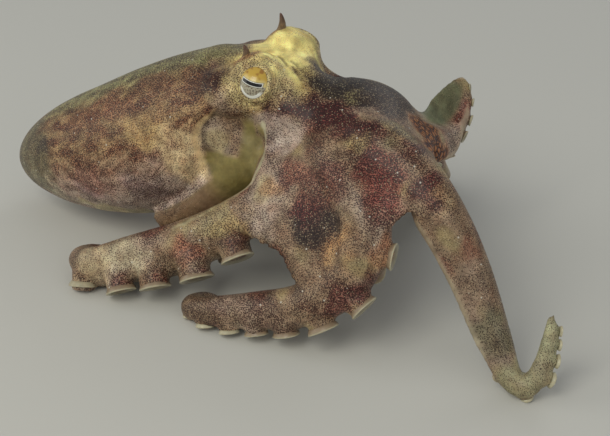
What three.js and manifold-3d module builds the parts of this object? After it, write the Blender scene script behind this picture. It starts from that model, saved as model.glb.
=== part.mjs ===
// A life-size octopus at rest on its arms, in millimetres, +Z up, the head facing +X, its left side +Y.
// The mantle (the sac behind the head) hangs low at the back, the head is raised on an arched crown of
// eight arms, and thin webs join the arms near the crown. Every named piece is one closed faceted solid.
// Neighbours meet with a thin parting gap, and everything that reaches the ground is flat at z = 0.
import * as THREE from 'three';
import { mergeVertices } from 'three/addons/utils/BufferGeometryUtils.js';
import Module from 'manifold-3d';

const wasm = await Module();
wasm.setup();

// ---------- driving dimensions ----------
const GAP = 0.3; // parting gap between two pieces that touch

const MOUTH = new THREE.Vector3(70, 0, 42); // where the eight arms meet
const MOUTH_RING = 9; // radius of the ring on which the arms start
const MOUTH_AXIS = new THREE.Vector3(0.45, 0, -0.89).normalize(); // the way the mouth opens
const CROWN = { centre: [74.5, -0.5, 43.2], size: [18, 17.5, 14.6] };

const MANTLE_SPINE = [[-34.6, 12.6], [-21.7, 16.4], [-8.9, 20.2], [3.5, 24.4], [15.6, 29.8],
  [27.3, 36.3], [38.5, 43]];
// Share of the way along the mantle and radius there; the last rows turn in at the rim, round the
// mantle's opening.
const MANTLE_GIRTH = [
  [0, 0.4], [0.02, 5.2], [0.07, 8.9], [0.14, 12.2], [0.24, 15.6], [0.36, 18.4], [0.5, 20.4],
  [0.64, 21.3], [0.78, 21], [0.9, 19.8], [0.955, 18.8], [0.97, 18.1], [0.93, 16.4],
];
// How far forward of square the rim stands, by the angle from the top of the back.
const RIM_FORWARD = [[0, 3], [45, 8], [70, 11.5], [80, 2], [90, -0.8], [103, -2.2], [117, -3.8],
  [136, -5.5], [180, -11]];
const MANTLE_FLATTEN = 0.97; // height over width

// Head sections from inside the mantle's opening to the crown: X, height of the middle, half width and
// half height.
const HEAD = [[26, 38.5, 14, 13], [33, 43, 14.5, 13.4], [40, 47, 13.6, 13.6], [47, 49.3, 14.4, 13.8],
  [54, 49.2, 14.8, 13.7], [61, 47.2, 15.2, 12.8], [68, 45.4, 15, 11.8]];
const NAPE = { centre: [36.5, 0, 49.6], size: [13, 13, 11.6] };
const NECK = { centre: [39.5, 8.8, 42], size: [9, 8.4, 11] }; // one bulge on each side
// Each eye stands in a raised mound, with a horn of skin above it. The head is tipped, so the left
// side is higher.
const EYE_RADIUS = 5;
const MOUND_RADIUS = 8.2;
const HORN_RADIUS = 1.4;
const SIDES = {
  right: {
    mound: [50.6, -8.5, 56.8], eye: [51.8, -11.9, 58.4], horn: [[46.2, -7.2, 62.4], [45.6, -7.2, 66.2]],
  },
  left: {
    mound: [51.8, 8, 58.2], eye: [52.4, 12, 59.2], horn: [[49.1, 8, 65], [48.8, 8, 70.2]],
  },
};

const FUNNEL = {
  route: [[53, -4, 42], [47.5, -6.5, 37], [42, -9.5, 28.5], [34, -12.4, 20], [22, -14.4, 11.4]],
  girth: [[0, 8], [0.12, 10.6], [0.3, 10.2], [0.5, 8.2], [0.75, 5.8], [0.96, 4.5], [1, 4], [0.93, 2.9],
    [0.8, 2.2]],
};

const ARM_TIP = 1.15; // radius at the tip
const ARM_STEPS = 96; // steps of the spine's frame
const ARM_PARTS = { base: [0, 0.36], middle: [0.36, 0.68], tip: [0.68, 1] };
const ARM_RINGS = { base: 7, middle: 6, tip: 7 };
const ARM_SIDES = 7;

// turn: place on the mouth ring, from the top, towards the right.
// girth: radius at the root. taper: its power.
// twist: how far the sucker side is turned about the arm, as rows of share and degrees.
// belly: how deep the sucker side is over the radius, as rows of share and depth.
// cups: from where to where the suckers stand, as shares of the length; rows of share and height; rows
// of share and sucker radius; the step from one to the next, all three over the arm's radius.
const LEFT_CUPS = { first: 0.28, last: 0.44, tall: [[0, 0.1]], size: [[0, 0.52]], pitch: 1.2 };
const PLAIN = { twist: [[0, 0]], belly: [[0, 0.8]] };
const ARMS = [
  { ...PLAIN, name: 'arm_r1', turn: 22.5, girth: 7.4, taper: 0.7, twist: [[0.5, 0], [0.7, -70]],
    cups: { first: 0.45, last: 0.8, tall: [[0, 0.1]], size: [[0, 0.46]], pitch: 1.1 },
    belly: [[0.4, 0.8], [0.55, 1.9], [0.8, 2.3], [0.95, 1.2]],
    route: [[83, -5, 49], [89.5, 1, 43.5], [91.5, 9, 40], [92.5, 18, 36.8], [93.2, 26, 37.3],
      [93.6, 30, 40.5], [93.8, 31.5, 44.8], [93.3, 31.2, 48.5], [92.8, 29.6, 50.6]] },
  { ...PLAIN, name: 'arm_r2', turn: 67.5, girth: 8, taper: 0.85,
    twist: [[0.12, 0], [0.3, 35], [0.62, 45], [0.85, 20]],
    cups: { first: 0.3, last: 0.94, tall: [[0.72, -0.15], [0.86, 0.4]], size: [[0.8, 0.5], [0.88, 0.82]],
      pitch: 1.05 },
    route: [[84, -13, 49], [97, -17, 45], [108, -21.5, 36.5], [117, -26, 26], [125.5, -31, 13],
      [131, -34.5, 4.6], [136, -35, 3.8], [138.2, -32, 11], [138.4, -28.5, 21.5]] },
  { ...PLAIN, name: 'arm_r3', turn: 112.5, girth: 9.1, taper: 0.56, twist: [[0.08, 0], [0.42, 80]],
    cups: { first: 0.2, last: 0.9, tall: [[0.27, -0.2], [0.36, 0], [0.5, 0], [0.62, 0]],
      size: [[0, 0.62]], pitch: 0.86 },
    route: [[77, -17, 43], [87, -25, 38], [90.5, -31, 29], [86.5, -35, 19], [76, -37, 11.2],
      [64, -38.5, 7.4], [53, -40, 5], [45, -38.5, 3.2], [46, -33.5, 2.3], [51, -32, 1.5]] },
  { ...PLAIN, name: 'arm_r4', turn: 157.5, girth: 7.8, taper: 0.55, twist: [[0.15, 0], [0.35, 22]],
    cups: { first: 0.27, last: 0.78, tall: [[0.27, 0.2], [0.55, 0.8]], size: [[0.3, 0.7], [0.5, 0.84]],
      pitch: 0.98 },
    belly: [[0.3, 0.8], [0.45, 1.15], [0.6, 1.4], [0.8, 1.5], [0.9, 1]],
    route: [[61, -14, 37], [59.5, -21, 30], [51, -25.5, 23.5], [38, -28.5, 16.5], [24, -33, 11.5],
      [14.5, -36.5, 8.2], [7.5, -34, 5.6], [7, -28, 3.6], [12, -24.5, 2.4], [18, -24, 1.8]] },
  { ...PLAIN, name: 'arm_l4', turn: 202.5, girth: 7.8, taper: 0.72, cups: LEFT_CUPS,
    route: [[60, 13, 34], [54, 21, 25], [43, 27, 14], [30, 31, 6], [16, 34, 2.9], [5, 32, 1.9],
      [0, 25, 1.4], [5, 19, 1]] },
  { ...PLAIN, name: 'arm_l3', turn: 247.5, girth: 8.2, taper: 0.72, cups: LEFT_CUPS,
    route: [[65, 18, 39], [57, 29, 31.5], [47.5, 38, 18.5], [37, 45, 6.8], [25, 49, 3.1], [13, 50, 2.1],
      [5, 44, 1.5], [9, 38, 1.1]] },
  { ...PLAIN, name: 'arm_l2', turn: 292.5, girth: 8.2, taper: 0.72, cups: LEFT_CUPS,
    route: [[74, 17, 41], [71, 30, 34], [66.5, 41, 23], [61, 50, 10.5], [53, 57, 3.6], [46, 60, 1.8],
      [40, 55, 1.2], [45, 50, 0.9]] },
  { ...PLAIN, name: 'arm_l1', turn: 337.5, girth: 7.2, taper: 0.72, cups: LEFT_CUPS,
    route: [[80, 9, 45], [81, 19, 37], [80.5, 31, 26], [80.5, 43, 14], [79, 54, 5.6], [73, 60.5, 2.5],
      [65.5, 60, 1.6], [63, 54, 1.2], [67.5, 50, 0.9]] },
];

// Each web joins two neighbouring arms out to these shares of their lengths. Its free edge is hollowed
// by dip.
const WEBS = [
  { pair: ['arm_r1', 'arm_r2'], reach: [0.4, 0.36], dip: 0.12 },
  { pair: ['arm_r2', 'arm_r3'], reach: [0.34, 0.28], dip: 0.16 },
  { pair: ['arm_r3', 'arm_r4'], reach: [0.55, 0.35], dip: 0.16 },
  { pair: ['arm_r4', 'arm_l4'], reach: [0.27, 0.27], dip: 0.1 },
  { pair: ['arm_l4', 'arm_l3'], reach: [0.48, 0.48], dip: 0.12 },
  { pair: ['arm_l3', 'arm_l2'], reach: [0.46, 0.46], dip: 0.12 },
  { pair: ['arm_l2', 'arm_l1'], reach: [0.46, 0.46], dip: 0.12 },
  { pair: ['arm_l1', 'arm_r1'], reach: [0.46, 0.44], dip: 0.12 },
];
const WEB_THICKNESS = 2;
const WEB_LIFT = 0.6; // how far the web lies towards the arms' outer side, over the arm's radius

// Suckers stand in two rows along the inner side of each arm, staggered.
const SUCKER = { sides: 5, lean: 30, waist: 0.8 };

const FLESH = new THREE.MeshStandardMaterial({ color: 0x8a6a58, roughness: 0.45, metalness: 0 });
const WEB_SKIN = new THREE.MeshStandardMaterial({ color: 0x75594e, roughness: 0.45, metalness: 0 });
const FUNNEL_SKIN = new THREE.MeshStandardMaterial({ color: 0x8c8458, roughness: 0.4, metalness: 0 });
const EYE_SKIN = new THREE.MeshStandardMaterial({ color: 0xc9c3a4, roughness: 0.1, metalness: 0 });

// ---------- small tools ----------
const vector = (p) => new THREE.Vector3(...p);
const lerp = (a, b, t) => a + (b - a) * t;

// The value of a table of [place, value] rows at x, easing smoothly from row to row.
function eased(rows, x) {
  if (x <= rows[0][0]) return rows[0][1];
  for (let i = 1; i < rows.length; i++) {
    if (x < rows[i][0]) {
      const t = THREE.MathUtils.smoothstep(x, rows[i - 1][0], rows[i][0]);
      return lerp(rows[i - 1][1], rows[i][1], t);
    }
  }
  return rows[rows.length - 1][1];
}

// A closed skin over rings of equal count, each end closed by a fan about the ring's middle.
function loft(rings) {
  const sides = rings[0].length;
  const points = rings.flat();
  const index = [];
  for (let i = 0; i + 1 < rings.length; i++) {
    for (let k = 0; k < sides; k++) {
      const a = i * sides + k;
      const b = i * sides + ((k + 1) % sides);
      index.push(a, b, a + sides, b, b + sides, a + sides);
    }
  }
  for (const [end, flip] of [[0, true], [rings.length - 1, false]]) {
    const middle = points.length;
    points.push(rings[end].reduce((sum, p) => sum.add(p), new THREE.Vector3()).divideScalar(sides));
    for (let k = 0; k < sides; k++) {
      const a = end * sides + k;
      const b = end * sides + ((k + 1) % sides);
      index.push(...(flip ? [b, a, middle] : [a, b, middle]));
    }
  }
  return new THREE.BufferGeometry().setFromPoints(points).setIndex(index);
}

// A closed geometry as a solid, turned right side out.
function solid(geometry) {
  const bare = geometry.clone();
  bare.deleteAttribute('normal');
  bare.deleteAttribute('uv');
  const merged = mergeVertices(bare, 1e-4);
  const triVerts = new Uint32Array(merged.index.array);
  const vertProperties = merged.attributes.position.array;
  const build = () => new wasm.Manifold(new wasm.Mesh({ numProp: 3, vertProperties, triVerts }));
  const made = build();
  if (made.volume() > 0) return made;
  for (let i = 0; i < triVerts.length; i += 3) {
    [triVerts[i], triVerts[i + 1]] = [triVerts[i + 1], triVerts[i]];
  }
  return build();
}

// The largest single body of a solid, which drops the slivers that a cut can leave.
const largest = (made) => made.decompose().sort((a, b) => b.volume() - a.volume())[0];

// A solid as a named mesh.
function mesh(name, made, material) {
  const { vertProperties, triVerts } = largest(made).getMesh();
  const geometry = new THREE.BufferGeometry();
  geometry.setAttribute('position', new THREE.BufferAttribute(new Float32Array(vertProperties), 3));
  geometry.setIndex(new THREE.BufferAttribute(new Uint32Array(triVerts), 1));
  const piece = new THREE.Mesh(geometry, material);
  piece.name = name;
  return piece;
}

// An ellipse of points about a middle, in the plane of two directions.
function ellipse(middle, across, upward, halfWidth, halfHeight, sides) {
  return Array.from({ length: sides }, (_, k) => {
    const angle = (k / sides) * 2 * Math.PI;
    return middle.clone().addScaledVector(across, halfWidth * Math.cos(angle))
      .addScaledVector(upward, halfHeight * Math.sin(angle));
  });
}

function ball(centre, radius, columns, rows) {
  return solid(new THREE.SphereGeometry(radius, columns, rows).translate(...centre));
}

function ellipsoid({ centre, size }, grow, columns, rows) {
  const unit = new THREE.SphereGeometry(1, columns, rows);
  return solid(unit.scale(...size.map((s) => s + grow)).translate(...centre));
}

// The turn that stands a +Y shape along a direction.
const turnTo = (axis) => new THREE.Quaternion().setFromUnitVectors(new THREE.Vector3(0, 1, 0), axis);

// Everything below the ground is cut off, which leaves the small flats that the model rests on.
const GROUND = solid(new THREE.BoxGeometry(600, 600, 100).translate(0, 0, -50));
const grounded = (made) => made.subtract(GROUND);

// ---------- mantle, head, eyes, papillae, funnel ----------
// The sac: ellipses square to its spine, the last of which turn in at the rim to leave the mantle's
// opening. Towards the rim each point is moved along the spine by its angle from the top.
function mantle(grow = 0) {
  const spine = new THREE.CatmullRomCurve3(MANTLE_SPINE.map(([x, z]) => new THREE.Vector3(x, 0, z)));
  const across = new THREE.Vector3(0, 1, 0);
  const sides = 16;
  const rim = MANTLE_GIRTH.findIndex(([share], i) => i > 0 && share < MANTLE_GIRTH[i - 1][0]) - 1;
  const rings = MANTLE_GIRTH.map(([share, radius], i) => {
    const tangent = spine.getTangentAt(share);
    const upward = new THREE.Vector3().crossVectors(tangent, across);
    const place = spine.getPointAt(share).addScaledVector(tangent, i < rim ? 0 : grow);
    const reach = i < rim ? radius + grow : radius - grow;
    const moved = THREE.MathUtils.smoothstep(share, 0.62, 0.95);
    return Array.from({ length: sides }, (_, k) => {
      const angle = (k / sides) * 360;
      const turn = THREE.MathUtils.degToRad(angle);
      const forward = moved * eased(RIM_FORWARD, Math.min(angle, 360 - angle));
      return place.clone().addScaledVector(tangent, forward)
        .addScaledVector(upward, reach * MANTLE_FLATTEN * Math.cos(turn))
        .addScaledVector(across, reach * Math.sin(turn));
    });
  });
  return solid(loft(rings));
}

function head(grow = 0) {
  const spine = new THREE.CatmullRomCurve3(HEAD.map(([x, z]) => new THREE.Vector3(x, 0, z)));
  const across = new THREE.Vector3(0, 1, 0);
  const rings = HEAD.map(([, , halfWidth, halfHeight], i) => {
    const share = i / (HEAD.length - 1);
    const upward = new THREE.Vector3().crossVectors(spine.getTangent(share), across);
    return ellipse(spine.getPoint(share), across, upward, halfWidth + grow, halfHeight + grow, 14);
  });
  const [x, y, z] = NECK.centre;
  const bulges = Object.values(SIDES).map(({ mound }) => ball(mound, MOUND_RADIUS + grow, 10, 7));
  bulges.push(ellipsoid(NAPE, grow, 12, 8));
  bulges.push(ellipsoid(NECK, grow, 10, 7));
  bulges.push(ellipsoid({ centre: [x, -y, z], size: NECK.size }, grow, 10, 7));
  return bulges.reduce((made, bulge) => made.add(bulge), solid(loft(rings)));
}

function papilla([foot, tip]) {
  const axis = vector(tip).sub(vector(foot));
  const cone = new THREE.ConeGeometry(HORN_RADIUS, axis.length(), 6).translate(0, axis.length() / 2, 0);
  cone.applyQuaternion(turnTo(axis.normalize()));
  return solid(cone.translate(...foot));
}

// A soft tube from the neck, blind inside its mouth.
function funnel(grow = 0) {
  const route = new THREE.CatmullRomCurve3(FUNNEL.route.map(vector));
  const mouth = FUNNEL.girth.findIndex(([share]) => share === 1);
  const rings = FUNNEL.girth.map(([share, radius], i) => {
    const tangent = route.getTangentAt(share);
    const across = new THREE.Vector3(0, 1, 0).cross(tangent).normalize();
    const upward = new THREE.Vector3().crossVectors(tangent, across);
    const reach = i > mouth ? radius - grow : radius + grow;
    return ellipse(route.getPointAt(share), across, upward, reach, reach, 10);
  });
  return solid(loft(rings));
}

// ---------- arms ----------
// The frame along an arm: place, direction, inner side (towards the mouth) and sucker side, which twist
// turns from it.
class Arm {
  constructor(spec) {
    Object.assign(this, spec);
    const turn = THREE.MathUtils.degToRad(spec.turn);
    const top = new THREE.Vector3().crossVectors(MOUTH_AXIS, new THREE.Vector3(0, 1, 0));
    const root = MOUTH.clone().addScaledVector(top, MOUTH_RING * Math.cos(turn));
    root.y -= MOUTH_RING * Math.sin(turn);
    this.curve = new THREE.CatmullRomCurve3([root, ...spec.route.map(vector)], false, 'catmullrom', 0.5);
    this.curve.arcLengthDivisions = 600;
    this.length = this.curve.getLength();
    this.inner = [];
    let inner = MOUTH_AXIS.clone();
    for (let k = 0; k <= ARM_STEPS; k++) {
      const tangent = this.curve.getTangentAt(k / ARM_STEPS);
      inner = inner.clone().addScaledVector(tangent, -inner.dot(tangent)).normalize();
      this.inner.push(inner);
    }
  }

  at(share) {
    const place = this.curve.getPointAt(share);
    const tangent = this.curve.getTangentAt(share);
    const step = Math.min(Math.floor(share * ARM_STEPS), ARM_STEPS - 1);
    const inner = this.inner[step].clone().lerp(this.inner[step + 1], share * ARM_STEPS - step);
    inner.addScaledVector(tangent, -inner.dot(tangent)).normalize();
    const twist = THREE.MathUtils.degToRad(eased(this.twist, share));
    const suckerSide = inner.clone().applyAxisAngle(tangent, twist);
    const across = new THREE.Vector3().crossVectors(tangent, suckerSide);
    const radius = lerp(ARM_TIP, this.girth, (1 - share) ** this.taper);
    return { place, tangent, inner, suckerSide, across, radius };
  }

  // A length of the arm between two shares of it: round on the outer side, flatter on the sucker side.
  stretch(from, to, rings, grow = 0) {
    const sections = Array.from({ length: rings }, (_, i) => {
      const share = lerp(from, to, i / (rings - 1));
      const { place, suckerSide, across, radius } = this.at(share);
      const belly = eased(this.belly, share);
      return Array.from({ length: ARM_SIDES }, (_, k) => {
        const angle = ((k + 0.5) / ARM_SIDES) * 2 * Math.PI;
        const depth = -Math.cos(angle);
        const reach = depth > 0 ? depth * (radius * belly + grow) : depth * (radius + grow);
        return place.clone().addScaledVector(across, Math.sin(angle) * (radius + grow))
          .addScaledVector(suckerSide, reach);
      });
    });
    return solid(loft(sections));
  }

  // The suckers between two shares: short flared cups in two staggered rows that lean apart.
  suckers(from, to) {
    const cups = [];
    const { first, last, tall, size, pitch } = this.cups;
    let place = this.length * first;
    for (let k = 0; place < this.length * last; k++) {
      const share = place / this.length;
      const { place: middle, suckerSide, across, radius } = this.at(share);
      const side = k % 2 ? 1 : -1;
      const wide = eased(size, share) * radius;
      if (Math.min(share - from, to - share) * this.length > wide + 0.6) {
        const lean = THREE.MathUtils.degToRad(SUCKER.lean) * side;
        const axis = suckerSide.clone().multiplyScalar(Math.cos(lean))
          .addScaledVector(across, Math.sin(lean));
        const foot = middle.clone().addScaledVector(suckerSide, 0.5 * radius)
          .addScaledVector(across, 0.56 * side * radius);
        const height = (0.4 + eased(tall, share)) * radius + 0.5;
        const cup = new THREE.CylinderGeometry(wide, SUCKER.waist * wide, height, SUCKER.sides);
        cup.translate(0, height / 2, 0);
        cup.applyQuaternion(turnTo(axis));
        cups.push(solid(cup.translate(...foot)));
      }
      place += pitch * radius + 0.2;
    }
    return cups;
  }
}

// A web between two arms: a thin curved sheet ruled from spine to spine, hollowed along its free edge.
function web(first, second, reach, dip) {
  const along = 6;
  const acrossSteps = 5;
  const point = (i, j, offset) => {
    const t = j / (acrossSteps - 1);
    const share = (i / (along - 1)) * (1 - dip * 4 * t * (1 - t));
    const a = first.at(share * reach[0]);
    const b = second.at(share * reach[1]);
    const inner = a.inner.lerp(b.inner, t).normalize();
    const lift = WEB_LIFT * lerp(a.radius, b.radius, t) + offset;
    return a.place.lerp(b.place, t).addScaledVector(inner, -lift);
  };
  const row = (i, offset) => Array.from({ length: acrossSteps }, (_, j) => point(i, j, offset));
  const half = WEB_THICKNESS / 2;
  const rings = Array.from({ length: along }, (_, i) => [...row(i, half), ...row(i, -half).toReversed()]);
  return solid(loft(rings));
}

// ---------- assembly ----------
const octopus = new THREE.Group();
const add = (name, made, material) => octopus.add(mesh(name, made, material));

const eye = (side, grow = 0) => ball(SIDES[side].eye, EYE_RADIUS + grow, 12, 8);
const crown = (grow = 0) => ellipsoid(CROWN, grow, 14, 10);

add('mantle', mantle(), FLESH);
const sac = mantle().add(mantle(GAP));
add('head', head().subtract(sac).subtract(eye('right', GAP)).subtract(eye('left', GAP)), FLESH);
for (const side of Object.keys(SIDES)) {
  add(`eye_${side}`, eye(side), EYE_SKIN);
  add(`papilla_${side}`, papilla(SIDES[side].horn).subtract(head(GAP)), FLESH);
}
add('funnel', funnel().subtract(sac).subtract(head(GAP)).subtract(crown(GAP)), FUNNEL_SKIN);
add('crown', crown().subtract(head(GAP)), FLESH);

const arms = new Map(ARMS.map((spec) => [spec.name, new Arm(spec)]));
// What the next piece has to keep clear of.
let taken = head(GAP).add(sac).add(funnel(GAP)).add(crown(GAP));
for (const arm of arms.values()) {
  for (const [part, [from, to]] of Object.entries(ARM_PARTS)) {
    const inset = GAP / 2 / arm.length;
    const span = [from === 0 ? 0 : from + inset, to === 1 ? 1 : to - inset];
    let flesh = arm.stretch(...span, ARM_RINGS[part]);
    let room = arm.stretch(...span, ARM_RINGS[part], GAP);
    for (const cup of arm.suckers(from, to)) {
      flesh = flesh.add(cup);
      room = room.add(cup);
    }
    add(`${arm.name}_${part}`, grounded(part === 'tip' ? flesh : flesh.subtract(taken)), FLESH);
    if (part !== 'tip') taken = taken.add(room);
  }
}
for (const { pair: [a, b], reach, dip } of WEBS) {
  const sheet = web(arms.get(a), arms.get(b), reach, dip);
  add(`web_${a.slice(4)}_${b.slice(4)}`, sheet.subtract(taken), WEB_SKIN);
}

// The shapes are placed from the tail. The part's origin is the ground point below the middle of the
// whole body.
const box = new THREE.Box3().setFromObject(octopus);
const middle = box.getCenter(new THREE.Vector3());
for (const piece of octopus.children) piece.position.set(-middle.x, -middle.y, -box.min.z);

export default octopus;
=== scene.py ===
# A life-size octopus at rest on its arms. One skin of flesh stands for the mantle, head, crown, funnel, arms and
# webs; the eyes, the horns of skin above them and the rows of suckers are pieces of their own.
# Shapes are worked out in millimetres about the sculptor's own zero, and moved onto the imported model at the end.
import math

import bmesh
import bpy
import numpy as np
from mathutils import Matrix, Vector


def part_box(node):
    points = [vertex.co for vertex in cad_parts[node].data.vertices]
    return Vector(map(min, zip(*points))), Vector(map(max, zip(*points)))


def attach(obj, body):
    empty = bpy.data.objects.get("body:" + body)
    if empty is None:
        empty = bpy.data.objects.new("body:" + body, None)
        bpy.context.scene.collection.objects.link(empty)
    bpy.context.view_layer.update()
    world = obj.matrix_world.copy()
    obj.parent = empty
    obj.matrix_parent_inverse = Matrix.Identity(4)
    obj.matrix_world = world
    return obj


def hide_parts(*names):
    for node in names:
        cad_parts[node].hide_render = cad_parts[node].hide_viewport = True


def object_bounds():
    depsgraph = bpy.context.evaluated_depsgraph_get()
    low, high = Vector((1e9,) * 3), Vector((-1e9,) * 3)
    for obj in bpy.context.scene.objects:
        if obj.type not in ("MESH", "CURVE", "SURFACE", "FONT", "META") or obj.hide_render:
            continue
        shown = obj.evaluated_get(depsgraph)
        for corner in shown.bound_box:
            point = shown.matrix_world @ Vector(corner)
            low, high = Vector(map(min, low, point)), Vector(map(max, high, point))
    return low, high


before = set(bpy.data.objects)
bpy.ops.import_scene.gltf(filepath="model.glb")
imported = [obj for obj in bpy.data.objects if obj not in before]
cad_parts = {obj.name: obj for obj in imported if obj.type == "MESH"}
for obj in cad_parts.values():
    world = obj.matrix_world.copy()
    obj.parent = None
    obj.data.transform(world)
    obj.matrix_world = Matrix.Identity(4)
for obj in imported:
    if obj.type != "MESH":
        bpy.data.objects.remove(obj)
cad_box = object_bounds()

# ---------- driving values, in millimetres ----------
MM = 0.001
CLEARANCE = 0.02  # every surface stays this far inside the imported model's box
VOXEL = 0.93  # cell of the remesh that joins the flesh
RELAX_ROUNDS, MELT_ROUNDS, LID_ROUNDS = 4, 14, 6  # of smoothing: everywhere, about the crown, about the eyes
LID_QUARTERED = (11.5, 10.5)  # faces nearer an eye than each of these in turn are quartered
LID_REACH = 12  # the smoothing about an eye ends here

MOUTH = np.array([70.0, 0.0, 42.0])
MOUTH_RING = 9.0
MOUTH_AXIS = np.array([0.45, 0.0, -0.89])
CROWN_CENTRE = np.array([74.5, -0.5, 43.2])
CROWN_SIZE = np.array([18.0, 17.5, 14.6])

MANTLE_SPINE = [(-34.3, 0, 12.7), (-21.7, 0, 16.4), (-8.9, 0, 20.2), (3.5, 0, 24.4), (15.6, 0, 29.8),
                (27.3, 0, 36.3), (38.5, 0, 43)]
# Share of the way along the mantle and radius there; past the rim the rows turn back in to make its opening.
MANTLE_GIRTH = [(0, 0.4), (0.006, 3), (0.02, 5.2), (0.07, 8.9), (0.14, 12.2), (0.24, 15.6), (0.36, 18.4),
                (0.5, 20.4), (0.64, 21.3), (0.78, 21), (0.9, 19.8), (0.955, 18.8), (0.97, 18.1), (0.96, 17.1),
                (0.9, 15.6), (0.84, 12), (0.83, 1)]
MANTLE_OUTSIDE = 12  # how many of those rows are its outer surface
MANTLE_FLATTEN = 0.97
# How far forward of square the rim stands, by the angle from the top of the back.
RIM_FORWARD = [(0, 3), (45, 8), (70, 11.5), (80, 2), (90, -0.8), (103, -2.2), (117, -3.8), (136, -5.5), (180, -11)]

# Head sections: X, height of the middle, half width, half height.
HEAD = [(26, 38.5, 14, 13), (33, 43, 14.5, 13.4), (40, 47, 13.6, 13.6), (47, 49.3, 14.4, 13.8),
        (54, 49.2, 14.8, 13.7), (61, 47.2, 15.2, 12.8), (68, 45.4, 15, 11.8)]
NAPE_CENTRE, NAPE_SIZE = (36.5, 0, 49.6), (13, 13, 11.6)
CHEEK_CENTRE, CHEEK_SIZE = (43.5, 9.5, 53.6), (11, 9, 6.5)
NECK_CENTRE, NECK_SIZE = (39.5, 8.8, 42), (9, 8.4, 11)
EYE_RADIUS = 5.0
MOUND_RADIUS = 8.2
SIDES = {
    "right": {"mound": (50.6, -8.5, 56.8), "eye": (51.8, -11.9, 58.4),
              "horn": ((46.2, -7.2, 62.4), (45.6, -7.2, 66.2))},
    "left": {"mound": (51.8, 8, 58.2), "eye": (52.4, 12, 59.2),
             "horn": ((49.1, 8, 65), (48.8, 8, 70.17))},
}
GAZE = (0.12, -0.9, 0.4)  # the way the right eye looks
SLIT = (0.97, 0.08, -0.2)  # the way its pupil lies; both turn about the head for the left eye
OPENING = (47, 57)  # half angles of the lids' opening, along the slit and across it, degrees

FUNNEL_ROUTE = [(53, -4, 42), (47.5, -6.5, 37), (42, -9.5, 28.5), (34, -12.4, 20), (22, -14.4, 11.4)]
# Share of the way along the funnel and radius; the last rows turn in to make its mouth.
FUNNEL_GIRTH = [(0, 8), (0.12, 10.6), (0.3, 10.2), (0.5, 8.2), (0.75, 5.8), (0.96, 4.5), (1, 4), (0.99, 3.4),
                (0.93, 2.9), (0.8, 2.2), (0.78, 0.4)]
FUNNEL_OUTSIDE = 7  # how many of those rows are its outer surface
# The skin that runs down from below the eye to the upper edge of the fourth right arm: its free edge, and the line
# inside the crown and the arm that it grows from.
CAPE_EDGE = [(54.5, -13.6, 49.5), (55.8, -17.2, 45.9), (56.4, -19.8, 40), (55, -22.5, 34.5), (50.5, -25, 30),
             (44, -28, 25.4), (36, -30.5, 20.6)]
CAPE_ROOT = [(62, -9, 52), (65, -12, 46), (64, -15, 40), (60, -19, 34), (54, -23, 28), (46, -26, 22),
             (38, -28.3, 17)]
# The membrane inside the curl of the first right arm, from the arm to its free edge.
CURL_EDGE = [(88, 12, 44.5), (87.4, 20, 46.5), (88.4, 25, 48.1), (90.4, 28, 49.8), (92.2, 29.6, 50.8)]
CURL_ROOT = [(91.5, 9, 41), (92.5, 18, 37.3), (93.3, 27, 38.5), (93.7, 31, 44.5), (93, 30, 50)]
CURL_CENTRE, CURL_SIZE = (90, 23, 46), (8, 14, 9)
# A dip between the eye mounds and the crown.
SADDLE_CENTRE, SADDLE_SIZE, SADDLE_DEPTH = (64.5, 8, 58.5), (7.5, 10, 9), 3.2
RIM_SHOWN = (72, 125)  # the stretch of the mantle's rim that shows, degrees from the top
# Fine creases of the skin between the mounds, pressed in, with painted shade darkening their lines.
CREASE_DEPTH = 0.35
CREASES = [
    [(49.2, -2.9, 63.2), (51.8, -3.6, 63.4), (54.1, -3.3, 62.9), (57.1, -5.2, 61.8)],
    [(57.2, -2.9, 62.1), (60.2, -4, 61), (63.2, -5.3, 59.2)],
    [(58.5, -4.6, 61.4), (62, -6.8, 59.1)],
]

TIP_RADIUS = 1.15
STATIONS = 241
ARM_SIDES = 28
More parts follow.
